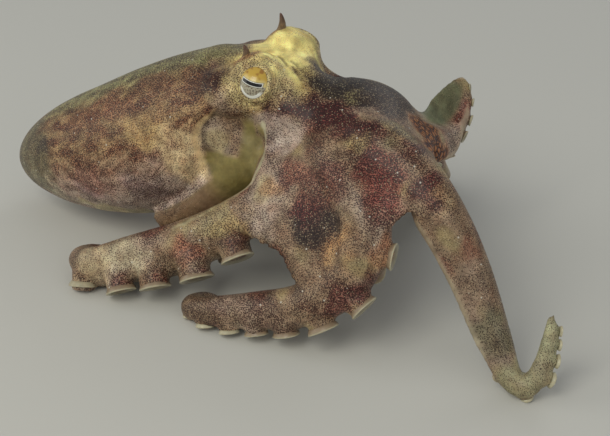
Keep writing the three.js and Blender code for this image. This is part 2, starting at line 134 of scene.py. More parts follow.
# turn: place on the mouth ring, from the top, towards the right. girth: radius at the root. taper: its power.
# cups: the first and last share that carry suckers, rows of share and height, rows of share and sucker radius, and
# the step from one to the next, all over the arm's radius.
# twist: how far the sucker side is turned about the arm, as rows of share and degrees.
# belly: how deep the sucker side is over the radius.
# keel: each membrane along the arm's edge, as its side (1 or -1), first and last share, and height.
LEFT = {"taper": 0.72, "cups": (0.2, 0.95, [(0, 0.1)], [(0, 0.52)], 0.8), "twist": [(0, 0)],
        "keel": [(1, 0.3, 0.9, 1.2), (-1, 0.3, 0.9, 1.2)]}
ARMS = {
    "r1": {"turn": 22.5, "girth": 7.4, "taper": 0.7, "twist": [(0.5, 0), (0.7, -70)],
           "cups": (0.3, 0.96, [(0, -0.15)], [(0, 0.44)], 0.74),
           "keel": [(1, 0.3, 0.95, 1.5), (-1, 0.3, 0.95, 1.5)],
           "route": [(83, -5, 49), (89.5, 1, 43.5), (91.5, 9, 40), (92.5, 18, 36.8), (93.2, 26, 37.3),
                     (93.6, 30, 40.5), (93.8, 31.5, 44.8), (93.3, 31.2, 48.5), (92.8, 29.6, 50.6)]},
    "r2": {"turn": 67.5, "girth": 8, "taper": 0.85, "twist": [(0.12, 0), (0.3, 18), (0.62, 24), (0.85, 20)],
           "cups": (0.3, 0.97, [(0.72, -0.3), (0.86, 0.2)], [(0.78, 0.46), (0.86, 0.8)], 0.84),
           "keel": [(-1, 0.3, 0.8, 1.8)],
           "route": [(84, -13, 49), (97, -17, 45), (108, -21.5, 36.5), (117, -26, 26), (125.5, -31, 13),
                     (131, -34.5, 4.6), (136, -35, 3.8), (138.2, -32, 11), (138.4, -28.5, 21.5)]},
    "r3": {"turn": 112.5, "girth": 9.1, "taper": 0.56, "twist": [(0.08, 0), (0.42, 80)],
           "cups": (0.2, 0.96, [(0.27, -0.25), (0.36, -0.1), (0.5, 0), (0.62, -0.06)],
                    [(0.26, 0.36), (0.5, 0.62)], 0.72),
           "keel": [],
           "route": [(77, -17, 43), (87, -25, 38), (90.5, -31, 29), (86.5, -35, 19), (76, -37, 11.2),
                     (64, -38.5, 7.4), (53, -40, 5), (45, -38.5, 3.2), (46, -33.5, 2.3), (51, -32, 1.5)]},
    "r4": {"turn": 157.5, "girth": 7.8, "taper": 0.55, "twist": [(0.15, 0), (0.35, 22)],
           "cups": (0.27, 0.8, [(0.27, 0.2), (0.55, 0.8)], [(0.3, 0.7), (0.5, 0.84)], 0.98),
           "keel": [(-1, 0.3, 0.85, 1.6)],
           "belly": [(0.3, 0.8), (0.42, 1.25), (0.55, 1.65), (0.8, 1.75), (0.9, 1)],
           "route": [(61, -14, 37), (59.5, -21, 30), (51, -25.5, 23.5), (38, -28.5, 16.5), (24, -33, 11.5),
                     (14.5, -36.5, 8.2), (7.5, -34, 5.6), (7, -28, 3.6), (12, -24.5, 2.4), (18, -24, 1.8)]},
    "l4": {**LEFT, "turn": 202.5, "girth": 7.8,
           "route": [(60, 13, 34), (54, 21, 25), (43, 27, 14), (30, 31, 6), (16, 34, 2.9), (5, 32, 1.9),
                     (0, 25, 1.4), (5, 19, 1)]},
    "l3": {**LEFT, "turn": 247.5, "girth": 8.2,
           "route": [(65, 18, 39), (57, 29, 31.5), (47.5, 38, 18.5), (37, 45, 6.8), (25, 49, 3.1), (13, 50, 2.1),
                     (5, 44, 1.5), (9, 38, 1.1)]},
    "l2": {**LEFT, "turn": 292.5, "girth": 8.2,
           "route": [(74, 17, 41), (71, 30, 34), (66.5, 41, 23), (61, 50, 10.5), (53, 57, 3.6), (46, 60, 1.8),
                     (40, 55, 1.2), (45, 50, 0.9)]},
    "l1": {**LEFT, "turn": 337.5, "girth": 7.2,
           "route": [(80, 9, 45), (81, 19, 37), (80.5, 31, 26), (80.5, 43, 14), (79, 53.4, 5.6), (73, 59.5, 2.5),
                     (65.5, 59.1, 1.6), (63, 54, 1.2), (67.5, 50, 0.9)]},
}
# Each web joins two arms out to these shares of their lengths; its free edge is hollowed by dip.
WEBS = [("r1", "r2", 0.4, 0.36, 0.12), ("r2", "r3", 0.42, 0.35, 0.17), ("r3", "r4", 0.55, 0.35, 0.16),
        ("r4", "l4", 0.27, 0.27, 0.1), ("l4", "l3", 0.48, 0.48, 0.12), ("l3", "l2", 0.46, 0.46, 0.12),
        ("l2", "l1", 0.46, 0.46, 0.12), ("l1", "r1", 0.46, 0.44, 0.12)]
WEB_THICKNESS = 2
WEB_LIFT = 0.78
CUP_LEAN = math.radians(30)
STALK_LOWEST = -0.8  # a sucker whose stalk would end below this lies against the ground and has no stalk
CUP_SUNK = 0.15  # how deep the underside of every sucker lies in the skin at the least
CUP_HIDDEN = -0.1  # a sucker whose whole rim lies deeper than this in the skin is left out

# Horns: share of the way up from the foot, and radius; the first row is sunk in the skin.
HORN_GIRTH = [(-0.3, 2.5), (0, 1.6), (0.22, 1.12), (0.5, 0.8), (0.8, 0.52), (0.95, 0.3), (1, 0.06)]

# Marks on the right side, each also on the left: middle, size each way, ground colour, dot cover, strength.
MARKS = [
    ((53, -6, 58), (17, 15, 12), "#a8925f", 0.46, 0.8),
    ((-25, -12, 20), (16, 14, 14), "#64614a", 0.5, 0.8),
    ((-14, -17, 12), (11, 9, 7), "#97917a", 0.5, 0.55),
    ((-18, -15, 26), (4, 4, 3), "#4a4038", 0.6, 0.8),
    ((8, -13, 44), (13, 7, 5), "#80533f", 0.6, 0.6),
    ((-4, -15, 38), (12, 6, 5), "#83563f", 0.6, 0.55),
    ((19, -10, 51), (10, 6, 4), "#7a5340", 0.6, 0.65),
    ((22, -18, 41), (10, 6, 6), "#b2986a", 0.4, 0.7),
    ((32, -18, 36), (10, 6, 10), "#c4ae8a", 0.4, 0.85),
    ((22, -19, 24), (9, 6, 7), "#94817c", 0.6, 0.75),
    ((4, -21, 22), (8, 6, 6), "#94685c", 0.6, 0.7),
    ((8, -14, 11), (18, 8, 4), "#b0a57e", 0.35, 0.8),
    ((35, -3, 60), (10, 6, 5), "#85835a", 0.5, 0.8),
    ((57, -10, 59), (8, 7, 7), "#cabb80", 0.25, 0.95),
    ((54, -3, 64), (13, 11, 9), "#d6ca84", 0.2, 1.0),
    ((50, 5, 66), (3, 9, 3), "#a58f58", 0.5, 0.6),
    ((51, -12, 59), (10, 10, 9), "#b5a678", 0.5, 0.85),
    ((47, -8, 63), (6, 5, 4), "#98714a", 0.5, 0.85),
    ((39, -14, 57), (7, 7, 5), "#72503a", 0.8, 0.9),
    ((31, -13, 56), (8, 7, 4), "#76523a", 0.6, 0.8),
    ((61, -3, 60), (4, 4, 3), "#5c4438", 0.7, 0.5),
    ((58, -14, 53), (6, 5, 4), "#6a302d", 0.75, 0.9),
    ((64, -12, 55), (7, 6, 4), "#6a2f2d", 0.8, 0.95),
    ((74, -13, 54), (8, 6, 5), "#6d312e", 0.8, 0.95),
    ((82, -18, 53), (7, 6, 5), "#6a312e", 0.75, 0.9),
    ((91, -23, 48), (8, 7, 6), "#7a3d39", 0.7, 0.85),
    ((62, -15, 46), (7, 6, 7), "#b3a49c", 0.4, 0.85),
    ((57, -15, 49), (5, 5, 5), "#a09089", 0.45, 0.8),
    ((70, -2, 57), (9, 8, 7), "#5a543e", 0.8, 0.9),
    ((77, -3, 57), (9, 8, 7), "#4f4636", 0.8, 0.9),
    ((84, -3, 55), (9, 8, 7), "#584a3c", 0.75, 0.85),
    ((76, -7, 58), (4, 4, 4), "#8f8860", 0.55, 0.55),
    ((84, -20, 50), (4, 4, 4), "#9a8e62", 0.45, 0.6),
    ((92, -14, 54), (6, 5, 6), "#8f8660", 0.5, 0.7),
    ((104, -23, 46), (6, 6, 6), "#6d3532", 0.7, 0.8),
    ((108, -22, 42), (5, 4, 4), "#8f7a5c", 0.5, 0.6),
    ((116, -27, 33), (4, 4, 4), "#82503f", 0.6, 0.6),
    ((121, -28, 22), (9, 7, 10), "#7f6b59", 0.6, 0.75),
    ((126, -31, 13), (8, 7, 9), "#6f6a56", 0.6, 0.85),
    ((134, -36, 5), (9, 8, 7), "#9b987a", 0.45, 0.8),
    ((139, -31, 15), (8, 8, 10), "#a3a487", 0.45, 0.85),
    ((85, -33, 31), (8, 8, 7), "#b08c63", 0.45, 0.8),
    ((98, -33, 31), (6, 6, 7), "#996a50", 0.55, 0.65),
    ((95, -37, 22), (6, 6, 6), "#6a302d", 0.7, 0.8),
    ((88, -41, 19), (6, 5, 5), "#743734", 0.7, 0.7),
    ((67, -42, 9), (14, 8, 6), "#7f6a5c", 0.6, 0.7),
    ((48, -39, 6), (9, 9, 6), "#74604f", 0.6, 0.8),
    ((78, -32, 34), (10, 8, 9), "#4f413a", 0.75, 0.85),
    ((68, -22, 40), (6, 5, 5), "#93634f", 0.6, 0.7),
    ((78, -26, 39), (4, 4, 4), "#97905f", 0.4, 0.7),
    ((74, -27, 35), (7, 7, 6), "#6c3230", 0.7, 0.85),
    ((77, -28, 41), (9, 7, 7), "#7a4f42", 0.65, 0.8),
    ((70, -22, 42), (6, 6, 6), "#8a5a4a", 0.6, 0.7),
    ((92, -26, 42), (8, 7, 7), "#80433d", 0.6, 0.8),
    ((63, -29, 29), (6, 6, 6), "#a2948a", 0.45, 0.7),
    ((64, -24, 35), (6, 5, 5), "#a27c58", 0.5, 0.6),
    ((46, -30, 26), (9, 6, 5), "#9d9270", 0.5, 0.8),
    ((53, -31, 26), (7, 6, 5), "#a38f66", 0.5, 0.7),
    ((55, -30, 22), (5, 5, 4), "#7c5044", 0.6, 0.7),
    ((41, -33, 16), (6, 5, 4), "#97614e", 0.6, 0.7),
    ((24, -37, 13), (10, 7, 6), "#aca28c", 0.45, 0.75),
    ((15, -40, 10), (8, 7, 7), "#b3a487", 0.4, 0.75),
    ((58, -12, 58), (6, 5, 5), "#b9aa84", 0.45, 0.75),
    ((57, -13, 55), (4, 4, 4), "#a2906c", 0.5, 0.5),
    ((62, -10, 57), (4, 4, 4), "#92805e", 0.55, 0.55),
]
COBBLES = ((96, 0.5, 45), (12, 14, 11))  # where the first right arm is studded with orange pebbles of skin

CAMERA_AZIMUTH, CAMERA_ELEVATION = math.radians(25), math.radians(30)
CAMERA_TARGET = np.array([59.75, 0.0, 13.9])
CAMERA_DISTANCE = 369.9
CAMERA_HALF_ANGLE = math.radians(13)


# ---------- small mathematics ----------
def unit(vectors):
    """Vectors over their own length."""
    return vectors / np.maximum(np.linalg.norm(vectors, axis=-1, keepdims=True), 1e-9)


def ease(x, start, end):
    """0 before start and 1 after end, with a smooth S between."""
    t = np.clip((x - start) / (end - start), 0, 1)
    return t * t * (3 - 2 * t)


def eased_rows(rows, x):
    """The value at x of a table of (place, value) rows, with an S between neighbouring rows."""
    x = np.asarray(x, float)
    value = np.full(x.shape, float(rows[0][1]))
    for (start, low), (end, high) in zip(rows, rows[1:]):
        value += (high - low) * ease(x, start, end)
    return value


def turns(count):
    """Angles spread evenly over a full turn."""
    return np.linspace(0, 2 * np.pi, count, endpoint=False)


def through(points, count):
    """A smooth curve through points: on each span the cubic whose end slopes are half its neighbours' span."""
    p = np.asarray(points, float)
    p = np.vstack([2 * p[0] - p[1], p, 2 * p[-1] - p[-2]])
    t = np.linspace(0, len(p) - 3, count)
    i = np.minimum(t.astype(int), len(p) - 4)
    f = (t - i)[:, None]
    a, b, c, d = p[i], p[i + 1], p[i + 2], p[i + 3]
    return b + 0.5 * f * (c - a + f * (2 * a - 5 * b + 4 * c - d + f * (3 * (b - c) + d - a)))


def at_share(curve, shares):
    """Points at shares of a curve's length."""
    travelled = np.concatenate([[0], np.cumsum(np.linalg.norm(np.diff(curve, axis=0), axis=1))])
    wanted = np.asarray(shares) * travelled[-1]
    return np.stack([np.interp(wanted, travelled, axis) for axis in curve.T], axis=-1)


def ripples(points, size, seed, waves=28):
    """A smooth random field, mostly within -1 to 1: the sum of plane waves of one length in random directions."""
    random = np.random.default_rng(seed)
    direction = unit(random.normal(size=(waves, 3))) * random.uniform(0.75, 1.25, (waves, 1))
    phase = random.uniform(0, 2 * np.pi, waves)
    return np.sin(points @ direction.T * (2 * np.pi / size) + phase).sum(axis=1) * math.sqrt(1.0 / waves)


def linear(colour):
    """The linear red, green and blue of an sRGB hex colour."""
    value = np.array([int(colour[k:k + 2], 16) / 255 for k in (1, 3, 5)])
    return np.where(value <= 0.04045, value / 12.92, ((value + 0.055) / 1.055) ** 2.4)


def nearness(points, centre, size):
    """1 at a centre, falling smoothly to 0 at the surface of a ball or ellipsoid of that size about it."""
    distance = np.linalg.norm((points - np.asarray(centre, float)) / np.asarray(size, float), axis=-1)
    return 1 - ease(distance, 0, 1)


# ---------- shapes as arrays of vertices and triangles ----------
def outward(verts, faces):
    """The same closed shape with its faces turned out: the sum of its signed tetrahedra is made positive."""
    a, b, c = (verts[faces[:, k]] for k in range(3))
    if np.einsum("ij,ij->i", a, np.cross(b, c)).sum() < 0:
        faces = faces[:, ::-1]
    return verts, faces


def loft(rings):
    """A closed skin over rings (rows, sides, 3): a quad between each two neighbours, and a fan over each end."""
    rows, sides = rings.shape[:2]
    k = np.arange(sides)
    right = (k + 1) % sides
    start = np.arange(rows - 1)[:, None] * sides
    a, b = start + k, start + right
    quads = [np.stack([a, b, a + sides], -1), np.stack([b, b + sides, a + sides], -1)]
    first, last = rows * sides, rows * sides + 1
    foot = np.stack([right, k, np.full(sides, first)], -1)
    top = np.stack([k, right, np.full(sides, last - (rows - 1) * sides)], -1) + (rows - 1) * sides
    verts = np.concatenate([rings.reshape(-1, 3), rings[:1].mean(axis=1), rings[-1:].mean(axis=1)])
    return outward(verts, np.concatenate([q.reshape(-1, 3) for q in quads] + [foot, top]))


def ball(centre, size, sides=40, rows=24):
    """An ellipsoid: rings whose radius is the sine, and whose height is the cosine, of the angle from the top."""
    around = turns(sides)
    down = np.linspace(0.02, np.pi - 0.02, rows)[:, None]
    shape = np.stack([np.sin(down) * np.cos(around), np.sin(down) * np.sin(around), np.cos(down) + 0 * around], -1)
    return loft(np.asarray(centre, float) + shape * np.asarray(size, float))


def joined(shapes):
    """Several shapes as one list of vertices and one of faces."""
    offsets = np.cumsum([0] + [len(verts) for verts, _ in shapes[:-1]])
    return (np.concatenate([verts for verts, _ in shapes]),
            np.concatenate([faces + offset for (_, faces), offset in zip(shapes, offsets)]))


def sheet(upper, lower):
    """A closed sheet between two grids of points (rows, columns, 3): each row of both makes one ring."""
    return loft(np.concatenate([upper, lower[:, ::-1]], axis=1))


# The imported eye's box has its middle at the sculptor's eye, which gives the step between the two frames.
eye_low, eye_high = (np.array(corner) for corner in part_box("eye_right"))
TO_FRAME = (eye_low + eye_high) / 2 - np.array(SIDES["right"]["eye"]) * MM


def placed(points):
    """Points from the sculptor's millimetres to the frame's metres."""
    return np.asarray(points, float) * MM + TO_FRAME


def new_mesh(name, verts, faces):
    """A smooth-shaded object at the origin, its place in its mesh, from vertices in millimetres and faces."""
    data = bpy.data.meshes.new(name)
    data.vertices.add(len(verts))
    data.vertices.foreach_set("co", placed(verts).astype(np.float32).ravel())
    corners = faces.shape[1]
    data.loops.add(faces.size)
    data.loops.foreach_set("vertex_index", faces.ravel().astype(np.int32))
    data.polygons.add(len(faces))
    data.polygons.foreach_set("loop_start", np.arange(0, faces.size, corners, dtype=np.int32))
    data.polygons.foreach_set("use_smooth", np.ones(len(faces), bool))
    data.update(calc_edges=True)
    data.validate()
    made = bpy.data.objects.new(name, data)
    bpy.context.scene.collection.objects.link(made)
    return made


def positions(data):
    """A mesh's vertices in the sculptor's millimetres."""
    points = np.empty(len(data.vertices) * 3, np.float32)
    data.vertices.foreach_get("co", points)
    return (points.reshape(-1, 3).astype(float) - TO_FRAME) / MM


def set_positions(data, points):
    """Moves a mesh's vertices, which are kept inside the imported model's box."""
    low, high = (np.array(corner) for corner in cad_box)
    kept = np.clip(placed(points), low + CLEARANCE * MM, high - CLEARANCE * MM)
    data.vertices.foreach_set("co", kept.astype(np.float32).ravel())
    data.update()


def set_attribute(data, name, values):
    """A number, or a colour or vector of three, for each vertex."""
    values = np.asarray(values, np.float32)
    if values.ndim == 1:
        data.attributes.new(name, "FLOAT", "POINT").data.foreach_set("value", values)
    else:
        data.attributes.new(name, "FLOAT_VECTOR", "POINT").data.foreach_set("vector", values.ravel())


# ---------- the body's own shapes ----------
def mantle_rings():
    """The sac: the girth profile carried along its spine as ellipses, with the rim moved along the spine by angle."""
    profile = through(MANTLE_GIRTH, 170)
    spine = through(MANTLE_SPINE, 300)
    share = np.clip(profile[:, 0], 0, 1)
    place = at_share(spine, share)
    tangent = unit(at_share(np.gradient(spine, axis=0), share))
    upward = np.cross(tangent, [0, 1, 0])
    angle = turns(110)
    from_top = np.degrees(np.minimum(angle, 2 * np.pi - angle))
    radius = np.maximum(profile[:, 1], 0.3)[:, None]
    shift = ease(share, 0.62, 0.95)[:, None] * eased_rows(RIM_FORWARD, from_top)
    swell = 1 + 0.012 * np.sin(9.5 * share[:, None] + 0.8) * np.cos(angle) ** 2
    rings = (place[:, None] + tangent[:, None] * shift[..., None]
             + upward[:, None] * (radius * swell * MANTLE_FLATTEN * np.cos(angle))[..., None]
             + np.array([0, -1, 0]) * (radius * np.sin(angle))[..., None])
    return rings, share, np.degrees(angle)


def mantle():
    """The sac as a closed form, blind inside its opening."""
    return loft(mantle_rings()[0])


def rim_line():
    """The line of the mantle's rim on the right side, from beside the eye down to the funnel."""
    rings, share, degrees = mantle_rings()
    shown = (degrees > RIM_SHOWN[0]) & (degrees < RIM_SHOWN[1])
    return through(rings[share.argmax(), shown], 90)


def head():
    """Elliptic sections square to the head's own spine, which starts inside the mantle."""
    rows = through(HEAD, 60)
    spine = np.stack([rows[:, 0], 0 * rows[:, 0], rows[:, 1]], -1)
    upward = np.cross(unit(np.gradient(spine, axis=0)), [0, 1, 0])
    angle = turns(80)
    return loft(spine[:, None] + upward[:, None] * (rows[:, 3:4] * np.cos(angle))[..., None]
                + np.array([0, -1, 0]) * (rows[:, 2:3] * np.sin(angle))[..., None])


def funnel():
    """The siphon: its girth profile carried along its route as circles, blind inside its mouth."""
    profile = through(FUNNEL_GIRTH, 90)
    share = np.clip(profile[:, 0], 0, 1)
    route = through(FUNNEL_ROUTE, 200)
    tangent = unit(at_share(np.gradient(route, axis=0), share))
    across = unit(np.cross([0, 1, 0], tangent))
    upward = np.cross(tangent, across)
    angle = turns(40)
    radius = np.maximum(profile[:, 1:2], 0.2)
    return loft(at_share(route, share)[:, None] + across[:, None] * (radius * np.cos(angle))[..., None]
                + upward[:, None] * (radius * np.sin(angle))[..., None])


def ruled_skin(root, edge):
    """A membrane: straight lines from its root to its free edge, thinning towards the edge, with a slight bead."""
    root, edge = through(root, 60), through(edge, 60)
    t = np.linspace(0, 1, 24)[:, None]
    ruled = root[:, None] + (edge - root)[:, None] * t
    normal = unit(np.cross(np.gradient(ruled, axis=0), np.gradient(ruled, axis=1)))
    half = (2.2 - 1.1 * t) / 2 + 0.2 * ease(t, 0.8, 1)
    return sheet(ruled + normal * half, ruled - normal * half)


# ---------- arms, webs and suckers ----------
def arm_line(spec):
    """An arm's stations: place, direction, inner side (square to the way, from the mouth on), sucker side, radius."""
    turn = math.radians(spec["turn"])
    axis = unit(MOUTH_AXIS)
    root = MOUTH + MOUTH_RING * (math.cos(turn) * np.cross(axis, [0, 1, 0]) + math.sin(turn) * np.array([0, -1, 0]))
    curve = through([tuple(root)] + spec["route"], 800)
    share = np.linspace(0, 1, STATIONS)
    place = at_share(curve, share)
    tangent = unit(np.gradient(place, axis=0))
    inner = np.empty_like(place)
    side = axis
    for k in range(STATIONS):
        side = unit(side - tangent[k] * (side @ tangent[k]))
        inner[k] = side
    twist = np.radians(eased_rows(spec["twist"], share))[:, None]
    sucker = inner * np.cos(twist) + np.cross(tangent, inner) * np.sin(twist)
    radius = TIP_RADIUS + (spec["girth"] - TIP_RADIUS) * (1 - share) ** spec["taper"]
    length = np.linalg.norm(np.diff(place, axis=0), axis=1).sum()
    return {"share": share, "place": place, "tangent": tangent, "inner": inner, "sucker": sucker,
            "across": np.cross(tangent, sucker), "radius": radius, "length": length}


def on_arm(line, key, share):
    """One of an arm's arrays at a share of its length."""
    values = line[key]
    if values.ndim == 1:
        return np.interp(share, line["share"], values)
    return np.stack([np.interp(share, line["share"], axis) for axis in values.T], axis=-1)


def arm(line, spec):
    """Rings along an arm: round on the outer side, flatter on the sucker side, with a thin keel along an edge."""
    angle = (np.arange(ARM_SIDES) + 0.5) / ARM_SIDES * 2 * np.pi
    share = line["share"][:, None]
    end = np.sqrt(np.clip((1 - share) * line["length"] / TIP_RADIUS, 0.02, 1))
    radius = line["radius"][:, None] * end
    depth = -np.cos(angle)
    wide = np.sin(angle) * np.ones_like(share)
    belly = eased_rows(spec.get("belly", [(0, 0.8)]), share)
    deep = np.where(depth > 0, depth * belly, depth)
    for side, first, last, height in spec["keel"]:
        ridge = np.exp(-((wide * side - 1) / 0.13) ** 2) * (np.abs(depth) < 0.6)
        reach = height * ease(share, first, first + 0.08) * (1 - ease(share, last - 0.15, last))
        wide = wide + side * ridge * reach / radius
    return loft(line["place"][:, None] + line["across"][:, None] * (wide * radius)[..., None]
                + line["sucker"][:, None] * (deep * radius)[..., None])


def web(first, second, reach_first, reach_second, dip):
    """A thin sheet ruled from spine to spine, hollowed along its free edge by the parabola 4t(1 - t)."""
    t = np.linspace(0, 1, 40)
    out = np.linspace(0, 1, 50)[:, None]
    share = out * (1 - dip * 4 * t * (1 - t))
    a, b = (on_arm(first, "place", share * reach_first), on_arm(second, "place", share * reach_second))
    ra, rb = (on_arm(first, "radius", share * reach_first), on_arm(second, "radius", share * reach_second))
    inner = unit(on_arm(first, "inner", share * reach_first) * (1 - t)[:, None]
                 + on_arm(second, "inner", share * reach_second) * t[:, None])
    middle = a * (1 - t)[:, None] + b * t[:, None]
    lift = WEB_LIFT * (ra * (1 - t) + rb * t)
    half = WEB_THICKNESS / 2 * (1 + 0.5 * (1 - out)) + 0.3 * ease(out, 0.9, 1)
    return sheet(middle - inner * (lift + half)[..., None], middle - inner * (lift - half)[..., None])


def cup_places(line, spec):
    """Where suckers stand, in two staggered rows that lean apart: each one's foot, axis, height and radius."""
    first, last, heights, sizes, pitch = spec["cups"]
    walk, shares = line["length"] * first, []
    while walk < line["length"] * last:
        shares.append(walk / line["length"])
        walk += pitch * float(on_arm(line, "radius", shares[-1])) + 0.2
    share = np.array(shares)
    side = np.where(np.arange(len(share)) % 2, 1.0, -1.0)[:, None]
    radius = on_arm(line, "radius", share)[:, None]
    sucker, across = on_arm(line, "sucker", share), on_arm(line, "across", share)
    tall, wide = eased_rows(heights, share)[:, None], eased_rows(sizes, share)[:, None]
    return {"foot": on_arm(line, "place", share) + radius * (0.5 * sucker + 0.56 * side * across),
            "axis": unit(sucker * math.cos(CUP_LEAN) + across * side * math.sin(CUP_LEAN)),
            "along": on_arm(line, "tangent", share), "pale": ease(share, 0.72, 0.8), "radius": wide * radius,
            "height": (0.4 + tall) * radius + 0.5}


def stalks(cups):
    """Each sucker's fleshy stalk: a waisted tube from inside the arm to just below the sucker's lip."""
    rows = np.linspace(0, 1, 5)
    girth = np.array([1.0, 0.95, 0.92, 0.92, 0.96])
    angle = turns(12)
    side = unit(np.cross(cups["axis"], cups["along"]))
    other = np.cross(cups["axis"], side)
    made = []
    for k in range(len(side)):
        middle = cups["foot"][k] + cups["axis"][k] * (rows * (cups["height"][k] - 0.3))[:, None]
        if middle[-1, 2] < STALK_LOWEST:
            continue
        radius = (girth * max(cups["radius"][k, 0], 0.9))[:, None, None]
        around = side[k] * np.cos(angle)[:, None] + other[k] * np.sin(angle)[:, None]
        made.append(loft(middle[:, None] + radius * around))
    return made


# A sucker's section from its underside, over the lip, to the hole: radius and height over its rim's radius, and
# for its colour, how deep in the cup each row counts, for painted shade that darkens the cup towards its hole, and
# how much it is lip rather than skin.
CUP_SECTION = [(0.02, -0.34, 0, 0), (0.84, -0.34, 0, 0), (0.94, -0.2, 0, 0), (0.99, -0.07, 0, 0.2), (1.02, 0.0, 0, 1),
               (0.96, 0.04, 0.1, 1), (0.7, 0.0, 0.45, 1), (0.42, -0.1, 0.6, 1), (0.33, -0.14, 0.8, 1),
               (0.26, -0.3, 1, 1), (0.02, -0.32, 1, 1)]
CUP_RIM = 4  # the row of that section which is the rim
CUP_COLUMNS = 16


def outside_skin(points):
    """How far points stand out of the skin, below 0 inside it, and its normal there, both by its nearest vertex."""
    nearest = np.array([((skin_points - point) ** 2).sum(axis=1).argmin() for point in points])
    normal = skin_normals[nearest]
    return np.einsum("ij,ij->i", points - skin_points[nearest], normal), normal


def seated(rings):
    """Suckers (each rows, columns, 3) lifted whole off the ground and drawn down onto the skin where they would
    stand off it, without those that the flesh hides; and which of them are left."""
    ground = (cad_box[0][2] - TO_FRAME[2]) / MM + CLEARANCE
    rings[..., 2] += np.maximum(ground - rings[..., 2].min(axis=(1, 2)), 0)[:, None, None]
    gap, normal = outside_skin(rings[:, 0].mean(axis=1))
    rings -= (np.maximum(gap + CUP_SUNK, 0)[:, None] * normal)[:, None, None]
    rim = rings[:, CUP_RIM, ::2]
    shown = (outside_skin(rim.reshape(-1, 3))[0].reshape(len(rings), -1) > CUP_HIDDEN).any(axis=1)
    return rings[shown], shown


def cups_mesh(name, cups):
    """All suckers of one arm: the section turned about each sucker's axis, its rim gently scalloped."""
    section = np.array(CUP_SECTION)
    angle = turns(CUP_COLUMNS)
    side = unit(np.cross(cups["axis"], cups["along"]))
    other = np.cross(cups["axis"], side)
    random = np.random.default_rng(len(side))
    size = (cups["radius"] + 0.1) * random.uniform(0.94, 1.06, cups["radius"].shape)
    centre = cups["foot"] + cups["axis"] * cups["height"]
    wobble = 1 + 0.05 * np.sin(3 * angle + random.uniform(0, 6, (len(side), 1)))
    around = side[:, None] * np.cos(angle)[:, None] + other[:, None] * np.sin(angle)[:, None]
    rings = (centre[:, None, None] + around[:, None] * (size[:, None] * wobble[:, None]
                                                        * section[:, 0][None, :, None])[..., None]
             + (cups["axis"] * size)[:, None, None] * section[:, 1][None, :, None, None])
    rings, shown = seated(rings)
    verts, faces = joined([loft(ring) for ring in rings])
    made = new_mesh(name, verts, faces)
    count = CUP_COLUMNS * len(section) + 2
    # depth carries painted shade, darker deeper in the cup
    for label, values in (("depth", section[:, 2]), ("lip", section[:, 3])):
        each = np.tile(np.concatenate([np.repeat(values, CUP_COLUMNS), [0, 1]]), len(rings))
        pale = np.repeat(cups["pale"][shown], count) if label == "lip" else 0
        set_attribute(made.data, label, np.maximum(each, pale))
    set_positions(made.data, verts)
    return made


lines = {name: arm_line(spec) for name, spec in ARMS.items()}
cups = {name: cup_places(lines[name], spec) for name, spec in ARMS.items()}


# ---------- the one skin ----------
def flesh_shapes():
    """Every fleshy form, each closed, overlapping its neighbours so that they join into one."""
    shapes = [mantle(), head(), funnel(), ball(CROWN_CENTRE, CROWN_SIZE)]
    shapes += [ruled_skin(CAPE_ROOT, CAPE_EDGE), ruled_skin(CURL_ROOT, CURL_EDGE)]
    shapes += [ball(side["mound"], (MOUND_RADIUS,) * 3) for side in SIDES.values()]
    shapes += [ball(NAPE_CENTRE, NAPE_SIZE)]
    for centre, size in [(CHEEK_CENTRE, CHEEK_SIZE), (NECK_CENTRE, NECK_SIZE)]:
        shapes += [ball(np.array(centre) * (1, side, 1), size) for side in (-1, 1)]
    shapes += [arm(lines[name], spec) for name, spec in ARMS.items()]
    shapes += [web(lines[a], lines[b], reach_a, reach_b, dip) for a, b, reach_a, reach_b, dip in WEBS]
    for name in ARMS:
        shapes += stalks(cups[name])
    return shapes


def remeshed(rough):
    """The rough pile of forms as one closed surface of small even quads."""
    grid = rough.modifiers.new("join", "REMESH")
    grid.mode = "VOXEL"
    grid.voxel_size = VOXEL * MM
    grid.use_smooth_shade = True
    evaluated = rough.evaluated_get(bpy.context.evaluated_depsgraph_get())
    data = bpy.data.meshes.new_from_object(evaluated)
    bpy.data.objects.remove(rough)
    return data


def largest_part(count, edges):
    """Which vertices hang together with the most others: labels spread over the edges until nothing changes."""
    label = np.arange(count)
    while True:
        low = np.minimum(label[edges[:, 0]], label[edges[:, 1]])
        new = label.copy()
        np.minimum.at(new, edges[:, 0], low)
        np.minimum.at(new, edges[:, 1], low)
        new = new[new]
        if (new == label).all():
            break
        label = new
    return label == np.bincount(label).argmax()


def pulled(points, edges, weight, steps):
    """Moves points towards their neighbours' mean by a share of the way for each step, or away from it if below 0."""
    degree = np.bincount(edges.ravel(), minlength=len(points))[:, None]
    for step in steps:
        total = np.stack([np.bincount(edges[:, 0], points[edges[:, 1], k], len(points))
                          + np.bincount(edges[:, 1], points[edges[:, 0], k], len(points)) for k in range(3)], -1)
        points = points + step * weight[:, None] * (total / degree - points)
    return points


def relaxed(points, edges, weight, rounds):
    """Smoothing that goes a little back in each round, so that thin parts keep their size."""
    return pulled(points, edges, weight, [0.55, -0.45] * rounds)


def melted(points, edges, weight, rounds):
    """Plain smoothing, which fills the creases where forms meet."""
    return pulled(points, edges, weight, [0.6] * rounds)


def melt_weight(points):
    """How much a place is smoothed: most about the crown and the nape, least on the arms and the mantle's rim."""
    crown = nearness(points, (76, 0, 44), (40, 40, 34))
    nape = nearness(points, (34, 0, 58), (16, 14, 10))
    return np.clip(1.4 * crown + nape, 0, 1)


